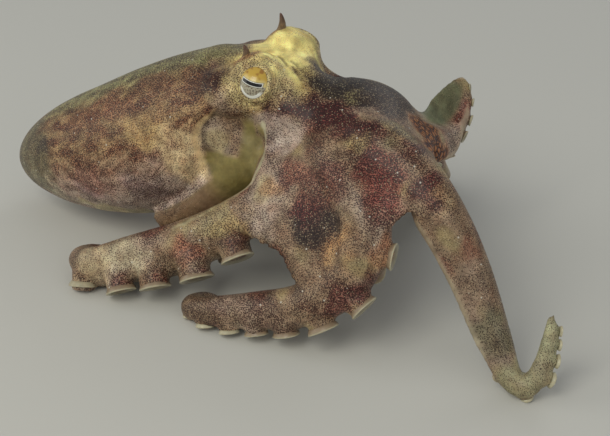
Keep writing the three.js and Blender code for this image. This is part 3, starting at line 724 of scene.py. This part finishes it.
def refined(data, keep):
    """The skin without its loose crumbs, and with its faces about the eyes quartered twice for the lids."""
    mesh = bmesh.new()
    mesh.from_mesh(data)
    mesh.verts.ensure_lookup_table()
    bmesh.ops.delete(mesh, geom=[mesh.verts[k] for k in np.flatnonzero(~keep)], context="VERTS")
    eyes = [Vector(placed(side["eye"])) for side in SIDES.values()]
    for reach in LID_QUARTERED:
        near = [edge for edge in mesh.edges
                if min((edge.verts[0].co - eye).length for eye in eyes) < reach * MM]
        bmesh.ops.subdivide_edges(mesh, edges=near, cuts=1, use_grid_fill=True)
    mesh.to_mesh(data)
    mesh.free()


def eye_frame(name):
    """An eye's gaze, the way its pupil lies, and the way up across it; the left eye's are the right's mirrored."""
    mirror = np.array((1, 1 if name == "right" else -1, 1))
    gaze = unit(np.array(GAZE) * mirror)
    along = np.array(SLIT) * mirror
    along = unit(along - gaze * (along @ gaze))
    across = np.cross(gaze, along)
    return gaze, along, across * np.sign(across[2])


def opening_share(directions, name):
    """How far a direction from an eye's middle lies from its gaze: 1 on the edge of the lids' elliptic opening."""
    gaze, along, across = eye_frame(name)
    a, b = directions @ along, directions @ across
    angle = np.degrees(np.arccos(np.clip(directions @ gaze, -1, 1)))
    return angle * np.hypot(a / OPENING[0], b / OPENING[1]) / np.maximum(np.hypot(a, b), 1e-6)


def lidded(points):
    """Skin about each eye moved to or from the eye's middle: sunk under the eyeball inside the opening, standing as
    a thin proud rim at its edge, and thrown into shallow rings of folds outside it."""
    for name, side in SIDES.items():
        offset = points - np.array(side["eye"])
        distance = np.linalg.norm(offset, axis=1)
        share = opening_share(offset / distance[:, None], name)
        rim = EYE_RADIUS + 0.1 + 0.5 * ease(share, 0.98, 1.1)
        lid = np.where(share < 1, EYE_RADIUS - 0.45 + 0.55 * ease(share, 0.93, 1.0), rim)
        away = ease(share, 1.1, 1.62)
        fold = 0.11 * np.sin(2 * np.pi * (share - 1.12) / 0.17) * ease(share, 1.08, 1.2) * (1 - ease(share, 1.5, 2.1))
        wanted = lid + (distance - lid) * away + fold
        near = (distance < 10) * (1 - ease(share, 2.1, 2.3))
        points = points + offset * ((wanted / distance - 1) * near)[:, None]
    return points


def build_skin():
    """The forms of flesh joined and smoothed, with lids about the eyes, a dip before the crown and fine creases."""
    rough = new_mesh("flesh", *joined(flesh_shapes()))
    data = remeshed(rough)
    points = positions(data)
    edges = mesh_edges(data)
    points = relaxed(points, edges, np.ones(len(points)), RELAX_ROUNDS)
    points = melted(points, edges, melt_weight(points), MELT_ROUNDS)
    set_positions(data, points)
    refined(data, largest_part(len(points), edges))
    points = positions(data)
    edges = mesh_edges(data)
    near = np.zeros(len(points))
    for side in SIDES.values():
        near = np.maximum(near, nearness(points, side["eye"], (LID_REACH,) * 3))
    points = relaxed(points, edges, np.clip(3 * near, 0, 1), LID_ROUNDS)
    points = lidded(points)
    points[:, 2] -= SADDLE_DEPTH * ease(nearness(points, SADDLE_CENTRE, SADDLE_SIZE), 0.0, 0.8)
    middle = np.array(SIDES["right"]["mound"])
    for crease in CREASES:
        depth = CREASE_DEPTH * (1 - ease(distance_to(points, through(crease, 60)), 0.2, 1.0))
        points = points - unit(points - middle) * depth[:, None]
    set_positions(data, points)
    skin = bpy.data.objects.new("skin", data)
    bpy.context.scene.collection.objects.link(skin)
    return skin


def mesh_edges(data):
    """A mesh's edges as pairs of vertex numbers."""
    edges = np.empty(len(data.edges) * 2, np.int32)
    data.edges.foreach_get("vertices", edges)
    return edges.reshape(-1, 2)


# ---------- the skin's colours ----------
def along_line(points, curve, radius):
    """For each point, the nearest station of a line: its number, the offset from it, and the distance over radius."""
    number = np.full(len(points), 0)
    ratio = np.full(len(points), 99.0)
    reach = radius.max() * 1.6 + 2
    inside = np.flatnonzero(((points > curve.min(axis=0) - reach) & (points < curve.max(axis=0) + reach)).all(axis=1))
    for chunk in np.array_split(inside, max(len(inside) // 20000, 1)):
        square = ((points[chunk, None] - curve) ** 2).sum(axis=-1) / radius ** 2
        number[chunk] = square.argmin(axis=1)
        ratio[chunk] = np.sqrt(square.min(axis=1))
    return number, points - curve[number], ratio


def distance_to(points, curve):
    """How far points lie from a line, with 99 for those well away from it."""
    return along_line(points, curve, np.ones(len(curve)))[2]


def blend(ground, tint, weight):
    """A colour at each point, taken the share given of the way to a tint."""
    return ground + (linear(tint) - ground) * np.clip(weight, 0, 1)[:, None]


class Coat:
    """The skin's looks as they are laid on: its ground colour, dot cover and bare places at each vertex. warped is
    each vertex's place with wavy borders, and right that place brought to the right side."""

    def __init__(self, points):
        """Lays the ground coat: one colour, with a dot cover that varies a little."""
        self.points = points
        self.warped = points + 1.4 * np.stack([ripples(points, 7, seed) for seed in (1, 2, 3)], -1)
        self.right = np.stack([self.warped[:, 0], -np.abs(self.warped[:, 1]), self.warped[:, 2]], -1)
        self.patch, self.broad, self.fine = ripples(points, 11, 4), ripples(points, 22, 5), ripples(points, 4.2, 6)
        self.ground = np.tile(linear("#86705c"), (len(points), 1))
        self.cover = 0.52 + 0.12 * np.clip(self.patch, -1, 1)
        self.bare = np.zeros(len(points))

    def lay(self, tint, weight, bare=0):
        """Blends the ground towards a tint, and makes the skin at least as bare as given."""
        self.ground = blend(self.ground, tint, weight)
        self.bare = np.maximum(self.bare, bare)


def lay_clouds(coat):
    """Arms and crown: brown-lilac with maroon and olive clouds."""
    coat.lay("#97877c", ease(coat.broad, 0.1, 1.2) * 0.7)
    coat.lay("#7a4c42", ease(coat.patch, 0.5, 1.3) * 0.75)
    coat.lay("#978d62", ease(-coat.patch, 0.5, 1.4) * 0.45)


def on_mantle(points):
    """Where points lie on the mantle: how far along it in millimetres and as a share, degrees from its top, distance
    from its spine over its girth, and how much they belong to it."""
    curve = through(MANTLE_SPINE, 120)
    girth = np.interp(np.linspace(0, 1, 120), *np.array(MANTLE_GIRTH[:MANTLE_OUTSIDE]).T)
    number, offset, ratio = along_line(points, curve, np.maximum(girth, 3))
    tangent = unit(np.gradient(curve, axis=0))[number]
    up = np.einsum("ij,ij->i", offset, np.cross(tangent, [0, 1, 0]))
    from_top = np.degrees(np.arctan2(np.abs(offset[:, 1]), up))
    length = np.linalg.norm(np.diff(curve, axis=0), axis=1).sum()
    on_spine = number / (len(curve) - 1)
    ahead = (on_spine * length + np.einsum("ij,ij->i", offset, tangent)
             - ease(on_spine, 0.62, 0.95) * eased_rows(RIM_FORWARD, from_top))
    sac = ease(ratio, 0.9, 0.96) * (1 - ease(ratio, 1.06, 1.14)) * (1 - ease(ahead / length, 0.985, 1.0))
    return ahead, ahead / length, from_top, ratio, sac


def lay_mantle(coat, ahead, from_top, sac):
    """Bands of colour from the mantle's back down, drawn out along it, with streaks and patches."""
    streak = ripples(np.stack([ahead * 0.3, from_top * 0.2, 0 * ahead], -1), 2.2, 7)
    flow = ripples(np.stack([ahead * 0.3, from_top * 0.3, 0 * ahead], -1), 1.7, 9)
    back = ease(from_top, 18, 40) * (1 - ease(from_top, 85, 115))
    side = np.tile(linear("#9b8762"), (len(ahead), 1))
    for tint, weight in (("#b3a196", ease(from_top, 66, 108)), ("#8d8a62", 1 - ease(from_top, 12, 42)),
                         ("#82523c", (0.35 + 0.45 * ease(streak, -0.4, 1.2)) * back),
                         ("#6b4233", ease(flow, 0.0, 1.2) * back * 0.6),
                         ("#876a70", ease(coat.patch, 0.2, 1.2) * 0.6 * ease(from_top, 75, 105))):
        side = blend(side, tint, weight)
    coat.ground = coat.ground + (side - coat.ground) * sac[:, None]
    coat.cover = coat.cover + (0.57 - 0.07 * ease(from_top, 70, 105) + 0.08 * streak - coat.cover) * sac


def lay_marks(coat):
    """The larger marks, each the same on both sides."""
    for centre, size, tint, dots, strength in MARKS:
        weight = strength * ease(nearness(coat.right, centre, 1.3 * np.array(size)), 0.08, 0.6)
        coat.lay(tint, weight)
        coat.cover = coat.cover + (dots - coat.cover) * weight


def lay_opening(coat, share, from_top, ratio, sac):
    """The mantle's pale rim, and painted shade in the gutter inside it."""
    rim = sac * ease(share, 0.955, 0.97) * ease(from_top, 50, 62)
    coat.lay("#ac9a78", 0.6 * rim, 0.35 * rim)
    # painted shade: a dark band just inside the rim, where the opening lies in shadow
    gutter_shade = (ease(ratio, 0.7, 0.8) * (1 - ease(ratio, 1.0, 1.1)) * ease(share, 0.975, 0.99)
              * (1 - ease(share, 1.0, 1.03)) * ease(from_top, 50, 65))
    coat.lay("#4f4335", 0.75 * gutter_shade)


def lay_funnel(coat, sac):
    """The funnel: smooth olive at its base, purple-brown towards its mouth, and the smooth skin about its root."""
    points = coat.points
    girth = np.interp(np.linspace(0, 1, 80), *np.array(FUNNEL_GIRTH[:FUNNEL_OUTSIDE]).T)
    number, _, ratio = along_line(points, through(FUNNEL_ROUTE, 80), girth)
    outward_share = number / (len(girth) - 1)
    neck = ease(points[:, 2], 37.5, 39.5) * (1 - ease(points[:, 0], 47.5, 49.5))
    tube = (1 - ease(ratio, 1.12, 1.35)) * (1 - sac) * (1 - neck) * (points[:, 0] < 52)
    coat.lay("#73693f", tube)
    coat.lay("#77604a", tube * ease(outward_share, 0.4, 0.65), tube * (1 - 0.75 * ease(outward_share, 0.55, 0.8)))
    lining = ease(nearness(coat.right, (52.5, -16, 41), (4.8, 6, 13)), 0.1, 0.5)
    coat.lay("#7a7048", lining, lining)


def lay_arms(coat):
    """Arms pale beneath, with pale edges to their membranes; smooth skin on the second right arm, olive in the curl
    of the first."""
    points = coat.points
    nearest = np.full(len(points), 99.0)
    under, fringe, curl, slender = (np.zeros(len(points)) for _ in range(4))
    for name, line in lines.items():
        place, girth = line["place"][::3], line["radius"][::3]
        number, offset, ratio = along_line(points, place, girth)
        low = np.einsum("ij,ij->i", offset, line["sucker"][::3][number]) / girth[number]
        wide = np.einsum("ij,ij->i", offset, line["across"][::3][number]) / girth[number]
        share = number / (len(place) - 1)
        mine = (ratio < nearest) & (ratio < (2.6 if name == "r1" else 1.6)) & (share > 0.12)
        nearest = np.where(mine, ratio, nearest)
        under = np.where(mine, ease(low, 0.35, 0.8) * ease(share, 0.15, 0.3), under)
        ridge = np.zeros(len(points))
        for side, first, last, _ in ARMS[name]["keel"]:
            ridge = np.maximum(ridge, ease(wide * side, 1.1, 1.28) * ease(share, first, first + 0.08)
                               * (1 - ease(share, last - 0.1, last)))
        fringe = np.where(mine, ridge * (1 - ease(np.abs(low), 0.3, 0.5)), fringe)
        slender = np.where(mine, (name == "r2") * 0.22 * ease(share, 0.3, 0.45), slender)
        curl = np.where(mine, (name == "r1") * ease(low, 0.7, 1.0) * ease(share, 0.4, 0.5), curl)
    coat.lay("#a3957c", under * 0.3)
    coat.ground = coat.ground * (1 - 0.9 * slender)[:, None]
    coat.bare = np.maximum(coat.bare, slender)
    coat.lay("#9a917f", fringe * 0.7, 0.9 * fringe)
    coat.lay("#515f48", curl, 0.7 * curl)


def lay_edges(coat):
    """The free edge of skin below the eye, the membrane in the curl, the mantle's lip, and painted shade along the
    creases.
    """
    points = coat.points
    hem = 1 - ease(distance_to(points, through(CAPE_EDGE, 90)), 0.55, 1.1)
    coat.lay("#a09e86", 0.85 * hem, hem)
    inner = ease(nearness(points, CURL_CENTRE, CURL_SIZE), 0.05, 0.4)
    coat.lay("#566249", inner * 0.85, 0.6 * inner)
    mirrored = points * np.where(points[:, 1:2] > 0, (1, -1, 1), (1, 1, 1))
    lip = 1 - ease(distance_to(mirrored, rim_line()), 0.5, 1.5)
    lip = lip * (0.35 + 0.65 * ease(points[:, 2], 30, 36))
    coat.lay("#bda680", 0.7 * lip, 0.5 * lip)
    # painted shade: a dark line along each crease
    for crease in CREASES:
        coat.lay("#4a3c2c", 0.7 * (1 - ease(distance_to(points, through(crease, 60)), 0.25, 0.65)))


def painted(points):
    """The skin's ground colour, dot cover, bare places and pebbles at each vertex."""
    coat = Coat(points)
    lay_clouds(coat)
    ahead, share, from_top, ratio, sac = on_mantle(points)
    lay_mantle(coat, ahead, from_top, sac)
    lay_marks(coat)
    lay_opening(coat, share, from_top, ratio, sac)
    lay_funnel(coat, sac)
    lay_arms(coat)
    lay_edges(coat)
    # clouds about 3 mm across, darker and redder or paler, fainter where the skin is bare
    dotted = 1 - 0.7 * coat.bare
    mottle = np.clip(ripples(points, 3.2, 8), -1.6, 1.6)
    coat.ground = coat.ground * (1 - dotted[:, None] * mottle[:, None] * np.array([0.12, 0.17, 0.18]))
    pebble = ease(nearness(coat.warped, *COBBLES), 0.05, 0.45)
    coat.lay("#b0774a", pebble)
    shade = 1 + (0.13 * np.clip(coat.fine, -1.5, 1.5) + 0.06 * np.clip(coat.broad, -1.5, 1.5)) * dotted
    return coat.ground * shade[:, None], np.clip(coat.cover * (1 - 0.6 * pebble), 0.1, 0.9), coat.bare, pebble


skin = build_skin()
skin_points = positions(skin.data)
skin_normals = np.empty(len(skin_points) * 3, np.float32)
skin.data.vertices.foreach_get("normal", skin_normals)
skin_normals = skin_normals.reshape(-1, 3)
cup_pieces = {name: cups_mesh(f"suckers_{name}", cups[name]) for name in ARMS}
for label, values in zip(("ground", "cover", "bare", "pebble"), painted(skin_points)):
    set_attribute(skin.data, label, values)


# ---------- eyes and horns ----------
def eye_colours(local, share):
    """An eye's colour from its own coordinates over its radius: along the pupil, across it, and outwards.
    The pupil is a band about the parabola 0.28 u^2 - 0.05, cut off at its ends; a white line runs round it."""
    u, v = local[:, 0], local[:, 1]
    slit = np.maximum(np.abs(v - (0.28 * u * u - 0.05)) / 0.085, (np.abs(u + 0.02) - 0.46) / 0.085)
    cloud, grain = ripples(local * 5, 1.6, 21), ripples(local * 5, 0.7, 22)
    gold = np.tile(linear("#c6a345"), (len(u), 1))
    gold = blend(gold, "#dccb84", (1 - ease(v, 0.1, 0.4)) * 0.7)
    gold = blend(gold, "#98662c", ease(cloud + 3 * (v - 0.5), 0.0, 1.4) * 0.85)
    silver = blend(np.tile(linear("#aaa48e"), (len(u), 1)), "#5c4f42", ease(grain, 0.0, 0.8) * 0.8)
    silver = blend(silver, "#7a5a40", ease(cloud, 0.5, 1.4) * 0.4)
    silver = blend(silver, "#f2f4ea", ease(share, 0.7, 0.76) * (1 - ease(share, 0.9, 0.97)) * ease(-v, 0.25, 0.45))
    colour = gold + (silver - gold) * ease(-v, -0.02, 0.06)[:, None]
    # painted shade: the iris darkens towards the edge of the lids' opening, under their overhang
    colour = blend(colour, "#6e5236", ease(share, 0.93, 1.02))
    colour = blend(colour, "#2a211c", (1 - ease(slit, 1.55, 2.1)) * 0.6)
    colour = blend(colour, "#eef0e6", 1 - ease(slit, 1.25, 1.55))
    return blend(colour, "#050505", 1 - ease(slit, 0.95, 1.12))


def eyeball(name):
    """A ball whose rings stand about the gaze, close together in front, so that its colours are sharp there."""
    gaze, along, across = eye_frame(name)
    angle = np.radians(np.concatenate([np.linspace(0.2, 68, 190), np.linspace(72, 179, 24)]))[:, None]
    turn = turns(200)
    local = np.stack([np.sin(angle) * np.cos(turn), np.sin(angle) * np.sin(turn), np.cos(angle) + 0 * turn], -1)
    verts, faces = loft(local)
    around = unit(verts @ np.stack([along, across, gaze]))
    made = new_mesh(f"eyeball_{name}", *outward(np.array(SIDES[name]["eye"]) + EYE_RADIUS * around, faces))
    set_attribute(made.data, "tint", eye_colours(unit(verts), opening_share(around, name)))
    return made


def horn(name):
    """The horn's girth profile carried from its foot to its tip as slightly lobed circles, with a small bend."""
    foot, tip = (np.array(point) for point in SIDES[name]["horn"])
    profile = through(HORN_GIRTH, 60)
    axis = unit(tip - foot)
    side = unit(np.cross(axis, [0, 1, 0]))
    other = np.cross(axis, side)
    angle = turns(36)
    share = profile[:, :1]
    reach = np.maximum(profile[:, 1:], 0.03) * (1 + 0.07 * np.sin(3 * angle + 4 * share) + 0.04 * np.sin(7 * angle))
    middle = foot + (tip - foot) * share - side * 0.35 * np.sin(np.pi * np.clip(share, 0, 1))
    rings = middle[:, None] + side * (reach * np.cos(angle))[..., None] + other * (reach * np.sin(angle))[..., None]
    made = new_mesh(f"horn_{name}", *loft(rings))
    height = np.clip(np.concatenate([np.repeat(share[:, 0], len(angle)), [0, 1]]), 0, 1)
    set_attribute(made.data, "height", height)
    return made


eyeballs = {name: eyeball(name) for name in SIDES}
horns = {name: horn(name) for name in SIDES}


# ---------- materials ----------
# Cells of the patterns to the metre: dots 0.36 mm apart, flecks 0.7 mm, pebbles 1.6 mm and specks 4 mm. A living
# skin's pigment cells lie closer than the dots, which are drawn this coarse so that they show.
DOTS, FLECKS, PEBBLES, SPECKS = 2800, 1500, 620, 260


def feed(tree, made, inputs):
    """Sets a node's inputs to values, or links them to an output or to another node's first output."""
    for socket, source in inputs.items():
        if isinstance(source, bpy.types.Node):
            source = source.outputs[0]
        if isinstance(source, bpy.types.NodeSocket):
            tree.links.new(source, made.inputs[socket])
        else:
            made.inputs[socket].default_value = source


def node(tree, kind, inputs, **settings):
    """A shader node with its settings and its inputs."""
    made = tree.nodes.new("ShaderNode" + kind)
    for key, value in settings.items():
        setattr(made, key, value)
    feed(tree, made, inputs)
    return made


def material(name, settings):
    """A material with a Principled surface, those of its inputs set that every part of it shares."""
    made = bpy.data.materials.new(name)
    made.use_nodes = True
    surface = made.node_tree.nodes["Principled BSDF"]
    feed(made.node_tree, surface, settings)
    return made, made.node_tree, surface


def colour4(colour):
    """The linear colour of an sRGB hex colour with an alpha of 1, as a node's input takes it."""
    return (*linear(colour), 1)


def soft_flesh(name, settings, base, layers, scale, tones, strength, depth):
    """A wet material of soft flesh: over its base colour, tints by the vertices' own numbers, and a fine grain that
    makes it lighter and darker and stands out as relief."""
    made, tree, surface = material(name, settings)
    colour = colour4(base)
    for label, tint in layers:
        share = node(tree, "Attribute", {}, attribute_name=label).outputs["Fac"]
        colour = node(tree, "Mix", {"Factor": share, 6: colour, 7: colour4(tint)}, data_type="RGBA").outputs[2]
    place = node(tree, "TexCoord", {}).outputs["Object"]
    grain = node(tree, "TexNoise", {"Vector": place, "Scale": scale, "Detail": 3}).outputs["Fac"]
    tone = node(tree, "MapRange", {"Value": grain, **tones})
    toned = node(tree, "VectorMath", {0: colour, "Scale": tone}, operation="SCALE")
    bump = node(tree, "Bump", {"Height": grain, "Strength": strength, "Distance": depth})
    feed(tree, surface, {"Base Color": toned, "Normal": bump})
    return made


def octopus_skin():
    """Living octopus skin: a soft wet skin with a pale ground and brown pigment cells 0.36 mm apart."""
    made, tree, surface = material("octopus_skin", {
        "Roughness": 0.48, "IOR": 1.36, "Coat Weight": 0.12, "Coat Roughness": 0.2,
        "Subsurface Weight": 0.12, "Subsurface Scale": 0.0009, "Subsurface Radius": (1, 0.55, 0.4)})
    place = node(tree, "TexCoord", {}).outputs["Object"]
    ground = node(tree, "Attribute", {}, attribute_name="ground").outputs["Color"]
    cover, bare, pebble = (node(tree, "Attribute", {}, attribute_name=label).outputs["Fac"]
                           for label in ("cover", "bare", "pebble"))
    shown = node(tree, "Math", {0: 1.0, 1: bare}, operation="SUBTRACT")
    # pigment cells: round dots, each of its own size, larger where the cover is denser
    cells = node(tree, "TexVoronoi", {"Vector": place, "Scale": DOTS, "Randomness": 0.7})
    random = node(tree, "SeparateColor", {"Color": cells.outputs["Color"]})
    reach = node(tree, "Math", {0: random, 1: 0.2, 2: 0.8}, operation="MULTIPLY_ADD")
    for share in (cover, shown):
        reach = node(tree, "Math", {0: reach, 1: share}, operation="MULTIPLY")
    edge = node(tree, "Math", {0: reach, 1: cells.outputs["Distance"]}, operation="SUBTRACT")
    dots = node(tree, "MapRange", {"Value": edge, "From Min": -0.08, "From Max": 0.08})
    # clouds of tone about 3 mm across
    cloud = node(tree, "TexNoise", {"Vector": place, "Scale": 330, "Detail": 4, "Roughness": 0.6})
    tone = node(tree, "MapRange", {"Value": cloud.outputs["Fac"], "From Min": 0.3, "From Max": 0.7,
                                   "To Min": 0.72, "To Max": 1.28})
    toned = node(tree, "VectorMath", {0: ground, "Scale": tone}, operation="SCALE")
    toned = node(tree, "VectorMath", {0: toned, 1: (1.26, 1.22, 1.11)}, operation="MULTIPLY")
    dark = node(tree, "VectorMath", {0: ground, 1: (0.17, 0.1, 0.1)}, operation="MULTIPLY")
    # pebbles of skin, each of its own tone, dark red between them
    studs = node(tree, "TexVoronoi", {"Vector": place, "Scale": PEBBLES, "Randomness": 0.8},
                 feature="DISTANCE_TO_EDGE").outputs["Distance"]
    crack = node(tree, "MapRange", {"Value": studs, "From Min": 0.06, "From Max": 0.26, "To Min": 1, "To Max": 0})
    each = node(tree, "TexVoronoi", {"Vector": place, "Scale": PEBBLES, "Randomness": 0.8})
    each = node(tree, "SeparateColor", {"Color": each.outputs["Color"]})
    each = node(tree, "MapRange", {"Value": each, "To Min": 0.0, "To Max": 0.5})
    height = node(tree, "MapRange", {"Value": studs, "From Min": 0, "From Max": 0.3})
    crack, each, height = (node(tree, "Math", {0: value, 1: pebble}, operation="MULTIPLY")
                           for value in (crack, each, height))
    # pale flecks between the dots, and a few white specks
    flecks = node(tree, "TexVoronoi", {"Vector": place, "Scale": FLECKS, "Randomness": 1})
    fleck = node(tree, "MapRange", {"Value": flecks.outputs["Distance"], "From Min": 0.12, "From Max": 0.26,
                                    "To Min": 0.6, "To Max": 0})
    fleck = node(tree, "Math", {0: fleck, 1: shown}, operation="MULTIPLY")
    specks = node(tree, "TexVoronoi", {"Vector": place, "Scale": SPECKS, "Randomness": 1})
    speck = node(tree, "MapRange", {"Value": specks.outputs["Distance"], "From Min": 0.05, "From Max": 0.075,
                                    "To Min": 0.75, "To Max": 0})
    colour = toned
    for share, tint in ((dots, dark), (fleck, colour4("#c9b996")), (each, colour4("#6e3324")),
                        (crack, colour4("#3a120e")), (speck, colour4("#d8d4c6"))):
        colour = node(tree, "Mix", {"Factor": share, 6: colour, 7: tint}, data_type="RGBA").outputs[2]
    # relief: pebbles, a soft grain, and each dot a shallow pit
    bump = node(tree, "Bump", {"Height": height, "Strength": 1, "Distance": 0.0005})
    grain = node(tree, "TexNoise", {"Vector": place, "Scale": 900, "Detail": 3, "Roughness": 0.6})
    bump = node(tree, "Bump", {"Height": grain.outputs["Fac"], "Strength": 0.6, "Distance": 0.00035, "Normal": bump})
    bump = node(tree, "Bump", {"Height": dots, "Strength": 0.4, "Distance": 0.00006, "Normal": bump}, invert=True)
    feed(tree, surface, {"Base Color": colour, "Normal": bump})
    return made


def sucker_flesh():
    """The soft pale muscle of a sucker, with painted shade that makes it brownish in the cup and dark in its hole."""
    return soft_flesh("sucker_flesh", {
        "Roughness": 0.38, "IOR": 1.38, "Coat Weight": 0.2, "Coat Roughness": 0.2,
        "Subsurface Weight": 0.15, "Subsurface Scale": 0.001, "Subsurface Radius": (1, 0.7, 0.5)},
        # the depth tint is painted shade in the cup and its hole
        "#8e7b64", (("lip", "#b9b396"), ("depth", "#57443a")), 700, {"To Min": 0.75, "To Max": 1.25}, 0.4, 0.0002)


def eye_surface():
    """A clear wet cornea over a gold and silver iris: the iris's colour is each vertex's own, the coat the water."""
    made, tree, surface = material("wet_eye", {"Roughness": 0.3, "IOR": 1.38, "Coat Weight": 0.6,
                                               "Coat Roughness": 0.03})
    tint = node(tree, "Attribute", {}, attribute_name="tint").outputs["Color"]
    feed(tree, surface, {"Base Color": tint})
    return made


def horn_skin():
    """The red-brown skin of a horn, darker and redder towards its tip, with a wrinkled grain."""
    tones = {"From Min": 0.3, "From Max": 0.7, "To Min": 0.6, "To Max": 1.25}
    return soft_flesh("horn_skin", {
        "Roughness": 0.45, "IOR": 1.38, "Coat Weight": 0.2, "Coat Roughness": 0.25,
        "Subsurface Weight": 0.1, "Subsurface Scale": 0.0006, "Subsurface Radius": (1, 0.5, 0.35)},
        "#86704c", (("height", "#5c3f35"),), 1100, tones, 0.7, 0.0003)


def pale_paper():
    """The matt pale paper that the model stands on."""
    return material("pale_paper", {"Roughness": 0.9, "Base Color": colour4("#cbcbc4")})[0]


# ---------- stage ----------
def camera():
    """A long lens that looks down on the near side, from in front of the right arms."""
    a, e = CAMERA_AZIMUTH, CAMERA_ELEVATION
    back = np.array([math.sin(a) * math.cos(e), -math.cos(a) * math.cos(e), math.sin(e)])
    data = bpy.data.cameras.new("camera")
    data.sensor_width = 36
    data.lens = data.sensor_width / 2 / math.tan(CAMERA_HALF_ANGLE)
    data.clip_start, data.clip_end = 0.01, 10
    made = bpy.data.objects.new("camera", data)
    made.location = placed(CAMERA_TARGET + back * CAMERA_DISTANCE)
    made.rotation_euler = Vector(-back).to_track_quat("-Z", "Y").to_euler()
    bpy.context.scene.collection.objects.link(made)
    bpy.context.scene.camera = made


def lamp(name, place, size, power, colour):
    """A square soft light at a place in metres, aimed at the body."""
    data = bpy.data.lights.new(name, "AREA")
    data.size, data.energy, data.color = size, power, colour
    made = bpy.data.objects.new(name, data)
    made.location = place
    made.rotation_euler = (Vector((0, 0, 0.03)) - Vector(place)).to_track_quat("-Z", "Y").to_euler()
    bpy.context.scene.collection.objects.link(made)


def floor():
    """A wide level sheet of paper under the body."""
    size = 3.0
    data = bpy.data.meshes.new("floor")
    corners = [(-size, -size, 0), (size, -size, 0), (size, size, 0), (-size, size, 0)]
    data.from_pydata(corners, [], [(0, 1, 2, 3)])
    made = bpy.data.objects.new("floor", data)
    bpy.context.scene.collection.objects.link(made)
    made.data.materials.append(pale_paper())


camera()
floor()
lamp("key", (-0.08, -0.6, 0.62), 0.45, 2.7, (1, 0.97, 0.88))
lamp("fill", (0.62, -0.45, 0.25), 0.6, 0.8, (1, 0.98, 0.92))
lamp("left", (-0.6, -0.25, 0.3), 0.5, 0.9, (1, 0.98, 0.92))
lamp("rim", (0.1, 0.7, 0.5), 0.5, 0.8, (1, 1, 1))
world = bpy.data.worlds.new("studio")
world.use_nodes = True
world.node_tree.nodes["Background"].inputs["Color"].default_value = (0.9, 0.92, 0.95, 1)
world.node_tree.nodes["Background"].inputs["Strength"].default_value = 0.35
bpy.context.scene.world = world
bpy.context.scene.view_settings.view_transform = "Standard"

flesh_nodes = [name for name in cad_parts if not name.startswith(("eye_", "papilla_"))]
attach(skin, "root")
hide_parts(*flesh_nodes)
skin.data.materials.append(octopus_skin())
flesh = sucker_flesh()
for piece in cup_pieces.values():
    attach(piece, "root")
    piece.data.materials.append(flesh)
iris, red_brown = eye_surface(), horn_skin()
for name in SIDES:
    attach(eyeballs[name], "root")
    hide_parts(f"eye_{name}")
    eyeballs[name].data.materials.append(iris)
    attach(horns[name], "root")
    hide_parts(f"papilla_{name}")
    horns[name].data.materials.append(red_brown)
